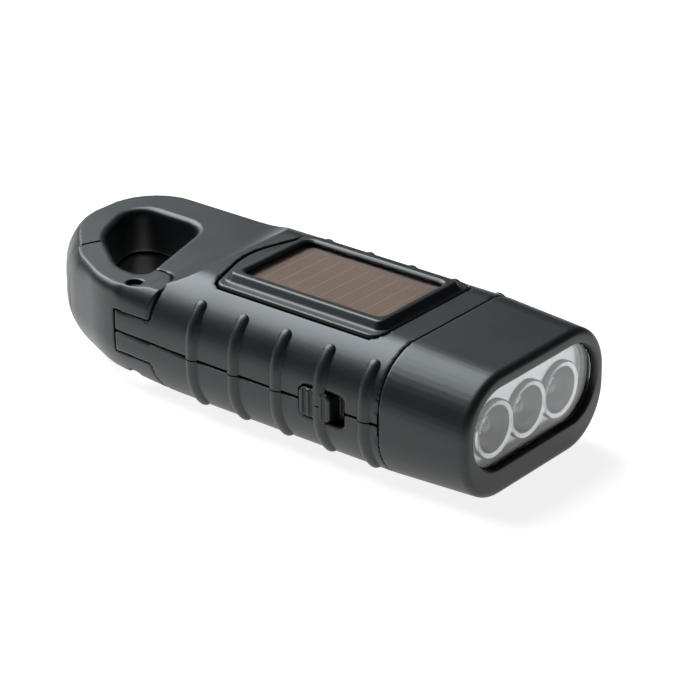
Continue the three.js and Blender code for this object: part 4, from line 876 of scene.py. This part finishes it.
class Finish:
    """A material, with one method for its nodes."""

    def __init__(self, name, color, roughness=0.5, metallic=0.0, **settings):
        self.material = bpy.data.materials.new(name)
        self.material.use_nodes = True
        self.tree = self.material.node_tree
        self.shader = self.tree.nodes["Principled BSDF"]
        self.set("Base Color", (*color, 1))
        self.set("Roughness", roughness)
        self.set("Metallic", metallic)
        for socket, value in settings.items():
            self.set(socket.replace("_", " "), value)
        self.place = self.node("ShaderNodeTexCoord", output="Object")

    def set(self, socket, value):
        self.join(self.shader.inputs[socket], value)

    def join(self, socket, value):
        if isinstance(value, Wire):
            self.tree.links.new(value.socket, socket)
        elif value is not None:
            socket.default_value = value

    def node(self, kind, settings=None, values=None, output=0):
        made = self.tree.nodes.new(kind)
        for key, value in (settings or {}).items():
            setattr(made, key, value)
        values = values if isinstance(values, dict) else dict(enumerate(values or []))
        for key, value in values.items():
            self.join(made.inputs[key], value)
        return Wire(self, made.outputs[output])

    def noise(self, scale, detail=2.0, roughness=0.5):
        values = {"Vector": self.place, "Scale": scale, "Detail": detail, "Roughness": roughness}
        return self.node("ShaderNodeTexNoise", None, values, "Fac")

    def blend(self, factor, first, second):
        made = self.tree.nodes.new("ShaderNodeMix")
        made.data_type = "RGBA"
        self.join(made.inputs[0], factor)
        self.join(made.inputs[6], first)
        self.join(made.inputs[7], second)
        return Wire(self, made.outputs[2])

    def bump(self, height, strength, distance):
        values = {"Height": height, "Strength": strength, "Distance": distance}
        self.set("Normal", self.node("ShaderNodeBump", None, values))


def grained(name, color, roughness, grain, parting=False):
    """Moulded plastic: a fine spark-eroded grain, faint flow marks and a slightly uneven gloss."""
    finish = Finish(name, color, roughness, IOR=1.5)
    fine = finish.noise(grain, 3.0, 0.6)
    broad = finish.noise(70.0, 2.0)
    dark = tuple(c * DARKER for c in color) + (1,)
    light = tuple(c * LIGHTER for c in color) + (1,)
    tone = finish.blend(broad * 0.7 + fine * 0.3, dark, light)
    finish.set("Roughness", broad * 0.10 + fine * 0.08 + (roughness - 0.09))
    height = fine
    if parting:
        z = finish.node("ShaderNodeSeparateXYZ", None, [finish.place], 2)
        line = (z - PARTING * MM).math("ABSOLUTE").math("LESS_THAN", LINE_HALF)
        tone = finish.blend(line, tone, (0.004, 0.004, 0.004, 1))
        height = fine - line * 6.0
    finish.set("Base Color", tone)
    finish.bump(height, 0.22, 0.00006)
    return finish.material


def clear(name, roughness=0.02, tint=(1, 1, 1)):
    return Finish(name, tint, roughness, IOR=1.49, Transmission_Weight=1.0).material


def film():
    """The solar cell: mottled brown film with pale printed lines that stop short of its long sides."""
    finish = Finish("solar_film", (0.2, 0.14, 0.11), 0.35, IOR=1.5)
    spread = finish.node("ShaderNodeSeparateXYZ", None, [finish.place], 0)
    aside = finish.node("ShaderNodeSeparateXYZ", None, [finish.place], 1)
    phase = ((spread - CELL_START) * (1 / CELL_PITCH)).math("FRACT")
    line = (phase - 0.5).math("ABSOLUTE").math("GREATER_THAN", CELL_LINE)
    inside = aside.math("ABSOLUTE").math("LESS_THAN", CELL_HALF)
    mottle = finish.noise(420.0, 4.0, 0.7)
    ground = finish.blend(mottle, (0.30, 0.19, 0.135, 1), (0.34, 0.215, 0.155, 1))
    marked = finish.blend(line * inside, ground, (0.45, 0.34, 0.26, 1))
    finish.set("Base Color", marked)
    finish.bump(mottle, 0.05, 0.00003)
    return finish.material


def metal(name, color, roughness, scale=900.0):
    """Metal with an uneven sheen."""
    finish = Finish(name, color, roughness, 1.0)
    marks = finish.noise(scale, 3.0)
    finish.set("Roughness", marks * 0.16 + (roughness - 0.08))
    finish.bump(marks, 0.05, 0.00003)
    return finish.material


def speckled(name, color, roughness, other, scale=500.0):
    """Resin or lacquer whose colour wanders between two close tones."""
    finish = Finish(name, color, roughness)
    marks = finish.noise(scale, 3.0)
    finish.set("Base Color", finish.blend(marks, (*color, 1), (*other, 1)))
    finish.set("Roughness", marks * 0.1 + (roughness - 0.05))
    finish.bump(marks, 0.1, 0.00003)
    return finish.material


def painted_light_pool_floor():
    """Pale paper with a painted pool of light: it glows under the object and fades outward."""
    finish = Finish("painted_light_pool_floor", (0.42, 0.40, 0.39), 0.9, Emission_Strength=1.0)
    x, y = (finish.node("ShaderNodeSeparateXYZ", None, [finish.place], k) for k in (0, 1))
    across = x * math.cos(VIEW_TURN) + y * math.sin(VIEW_TURN)
    along = y * math.cos(VIEW_TURN) - x * math.sin(VIEW_TURN) - POOL_SHIFT
    spread = (across * across * (1 / POOL_WIDTH ** 2) + along * along * (1 / POOL_DEPTH ** 2)).math("SQRT")
    # Painted light: the emitted glow is full under the object and fades to nothing outward
    glow = (2.0 - spread).math("MAXIMUM", 0.0).math("MINIMUM", 1.0)
    finish.set("Emission Color", finish.blend(glow, (0, 0, 0, 1), (GLOW, GLOW, GLOW, 1)))
    return finish.material


def dress(piece, material):
    piece.data.materials.clear()
    piece.data.materials.append(material)


def put(piece, node, body, material):
    """Gives a finished piece its body, the solid it stands for and its material."""
    dress(piece, material)
    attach(piece, body)
    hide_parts(node)


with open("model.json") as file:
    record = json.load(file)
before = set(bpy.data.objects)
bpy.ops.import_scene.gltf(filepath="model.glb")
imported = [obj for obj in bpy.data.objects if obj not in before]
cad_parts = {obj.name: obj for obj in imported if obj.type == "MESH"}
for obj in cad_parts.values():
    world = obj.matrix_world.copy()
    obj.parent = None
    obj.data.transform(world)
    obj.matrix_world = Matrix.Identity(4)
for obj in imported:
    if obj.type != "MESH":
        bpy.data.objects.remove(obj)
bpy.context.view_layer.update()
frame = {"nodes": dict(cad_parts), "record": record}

shell = grained("shell_plastic", PLASTIC, 0.40, 3600.0)
tail_plastic = grained("gate_plastic", PLASTIC, 0.40, 3600.0, parting=True)
head_plastic = grained("head_plastic", PLASTIC, 0.42, 3000.0)
frame_plastic = grained("frame_plastic", PLASTIC, 0.36, 4200.0)
knob_plastic = grained("knob_plastic", PLASTIC, 0.38, 3600.0)
glass = clear("clear_plastic")
lamp_resin = clear("lamp_resin", 0.03, (0.97, 0.98, 1.0))
mirror_film = metal("mirror_film", (0.42, 0.44, 0.45), 0.2, 300.0)
steel = metal("steel", (0.56, 0.57, 0.58), 0.32)
copper = metal("copper", (0.72, 0.36, 0.2), 0.35)
board = speckled("board_lacquer", (0.02, 0.13, 0.05), 0.35, (0.03, 0.19, 0.07))
chip = speckled("chip_resin", (0.02, 0.02, 0.022), 0.5, (0.03, 0.03, 0.032))
gear_resin = speckled("gear_resin", (0.68, 0.66, 0.58), 0.45, (0.74, 0.72, 0.64), 200.0)

by_slot = {"shell": shell, "head": head_plastic, "frame": frame_plastic, "knob": knob_plastic,
           "window": glass, "lens": glass, "cell": film(), "reflector": mirror_film, "led": lamp_resin,
           "board": board, "chip": chip, "gear": gear_resin, "steel": steel, "copper": copper}
for entry in frame["record"]["subparts"]:
    dress(frame["nodes"][entry["node"]], by_slot[entry["material_slot"]])
dress(frame["nodes"]["gate_pin"], metal("black_steel", (0.02, 0.02, 0.022), 0.4))

top, base, gate_form = housing_halves()
put(top, "upper_shell", "housing", shell)
put(base, "lower_shell", "housing", shell)
put(loop_gate(gate_form), "gate", "gate", tail_plastic)
put(head_cap(), "head_shell", "housing", head_plastic)
put(panel_frame(), "solar_frame", "housing", frame_plastic)
put(panel_glass(), "solar_window", "housing", glass)
put(lens_pane(), "lens", "housing", glass)
put(mirror(), "reflector", "housing", mirror_film)
for index in range(3):
    put(lamp(index), f"led_{index + 1}", "housing", lamp_resin)
put(switch_thumb(), "switch_knob", "switch", knob_plastic)
put(crank_wheel(), "crank_disc", "crank", knob_plastic)
put(handle_grip(), "handle_grip", "grip", knob_plastic)
put(handle_cap(), "handle_cap", "handle", knob_plastic)
for index, (x, y) in enumerate(SCREWS):
    piece = housing_screw(f"screw_{index + 1}", x, y, SCREW_SEAT, SCREW_LENGTH)
    put(piece, f"housing_screw_{index + 1}", "housing", steel)
piece = housing_screw("screw_tail", *TAIL_SCREW, TAIL_BOTTOM + SCREW_SEAT, TAIL_SCREW_LENGTH)
put(piece, "tail_screw", "housing", steel)

# Floor, camera and one soft studio light
deselect()
bpy.ops.mesh.primitive_plane_add(size=FLOOR_SIZE, location=(0, 0, 0))
floor = bpy.context.object
floor.name = "floor"
# The floor glows with a painted pool of light under the object
dress(floor, painted_light_pool_floor())

back = Vector((math.sin(VIEW_TURN) * math.cos(ELEVATION), -math.cos(VIEW_TURN) * math.cos(ELEVATION),
               math.sin(ELEVATION)))
right = Vector((math.cos(VIEW_TURN), math.sin(VIEW_TURN), 0))
up = back.cross(right)
level = right * math.cos(ROLL) + up * math.sin(ROLL)
upright = up * math.cos(ROLL) - right * math.sin(ROLL)
deselect()
bpy.ops.object.camera_add(location=CAMERA_PLACE)
camera = bpy.context.object
camera.rotation_euler = Matrix((level, upright, back)).transposed().to_euler()
camera.data.lens = LENS_LENGTH
camera.data.sensor_width = SENSOR_WIDTH
bpy.context.scene.camera = camera


def softbox(name, place, size, power):
    deselect()
    bpy.ops.object.light_add(type="AREA", location=place)
    light = bpy.context.object
    light.name = name
    light.data.shape = "RECTANGLE"
    light.data.size, light.data.size_y = size
    light.data.energy = power
    light.data.color = LIGHT_COLOR
    aim = Vector(AIM) - Vector(place)
    light.rotation_euler = aim.to_track_quat("-Z", "Y").to_euler()


softbox("overhead", (-0.70, 0.08, 0.82), (1.1, 0.95), 27)
sky = bpy.data.worlds.new("studio")
bpy.context.scene.world = sky
sky.use_nodes = True
sky.node_tree.nodes["Background"].inputs[0].default_value = (1, 1, 1, 1)
sky.node_tree.nodes["Background"].inputs[1].default_value = SKY
bpy.context.scene.view_settings.view_transform = "Standard"
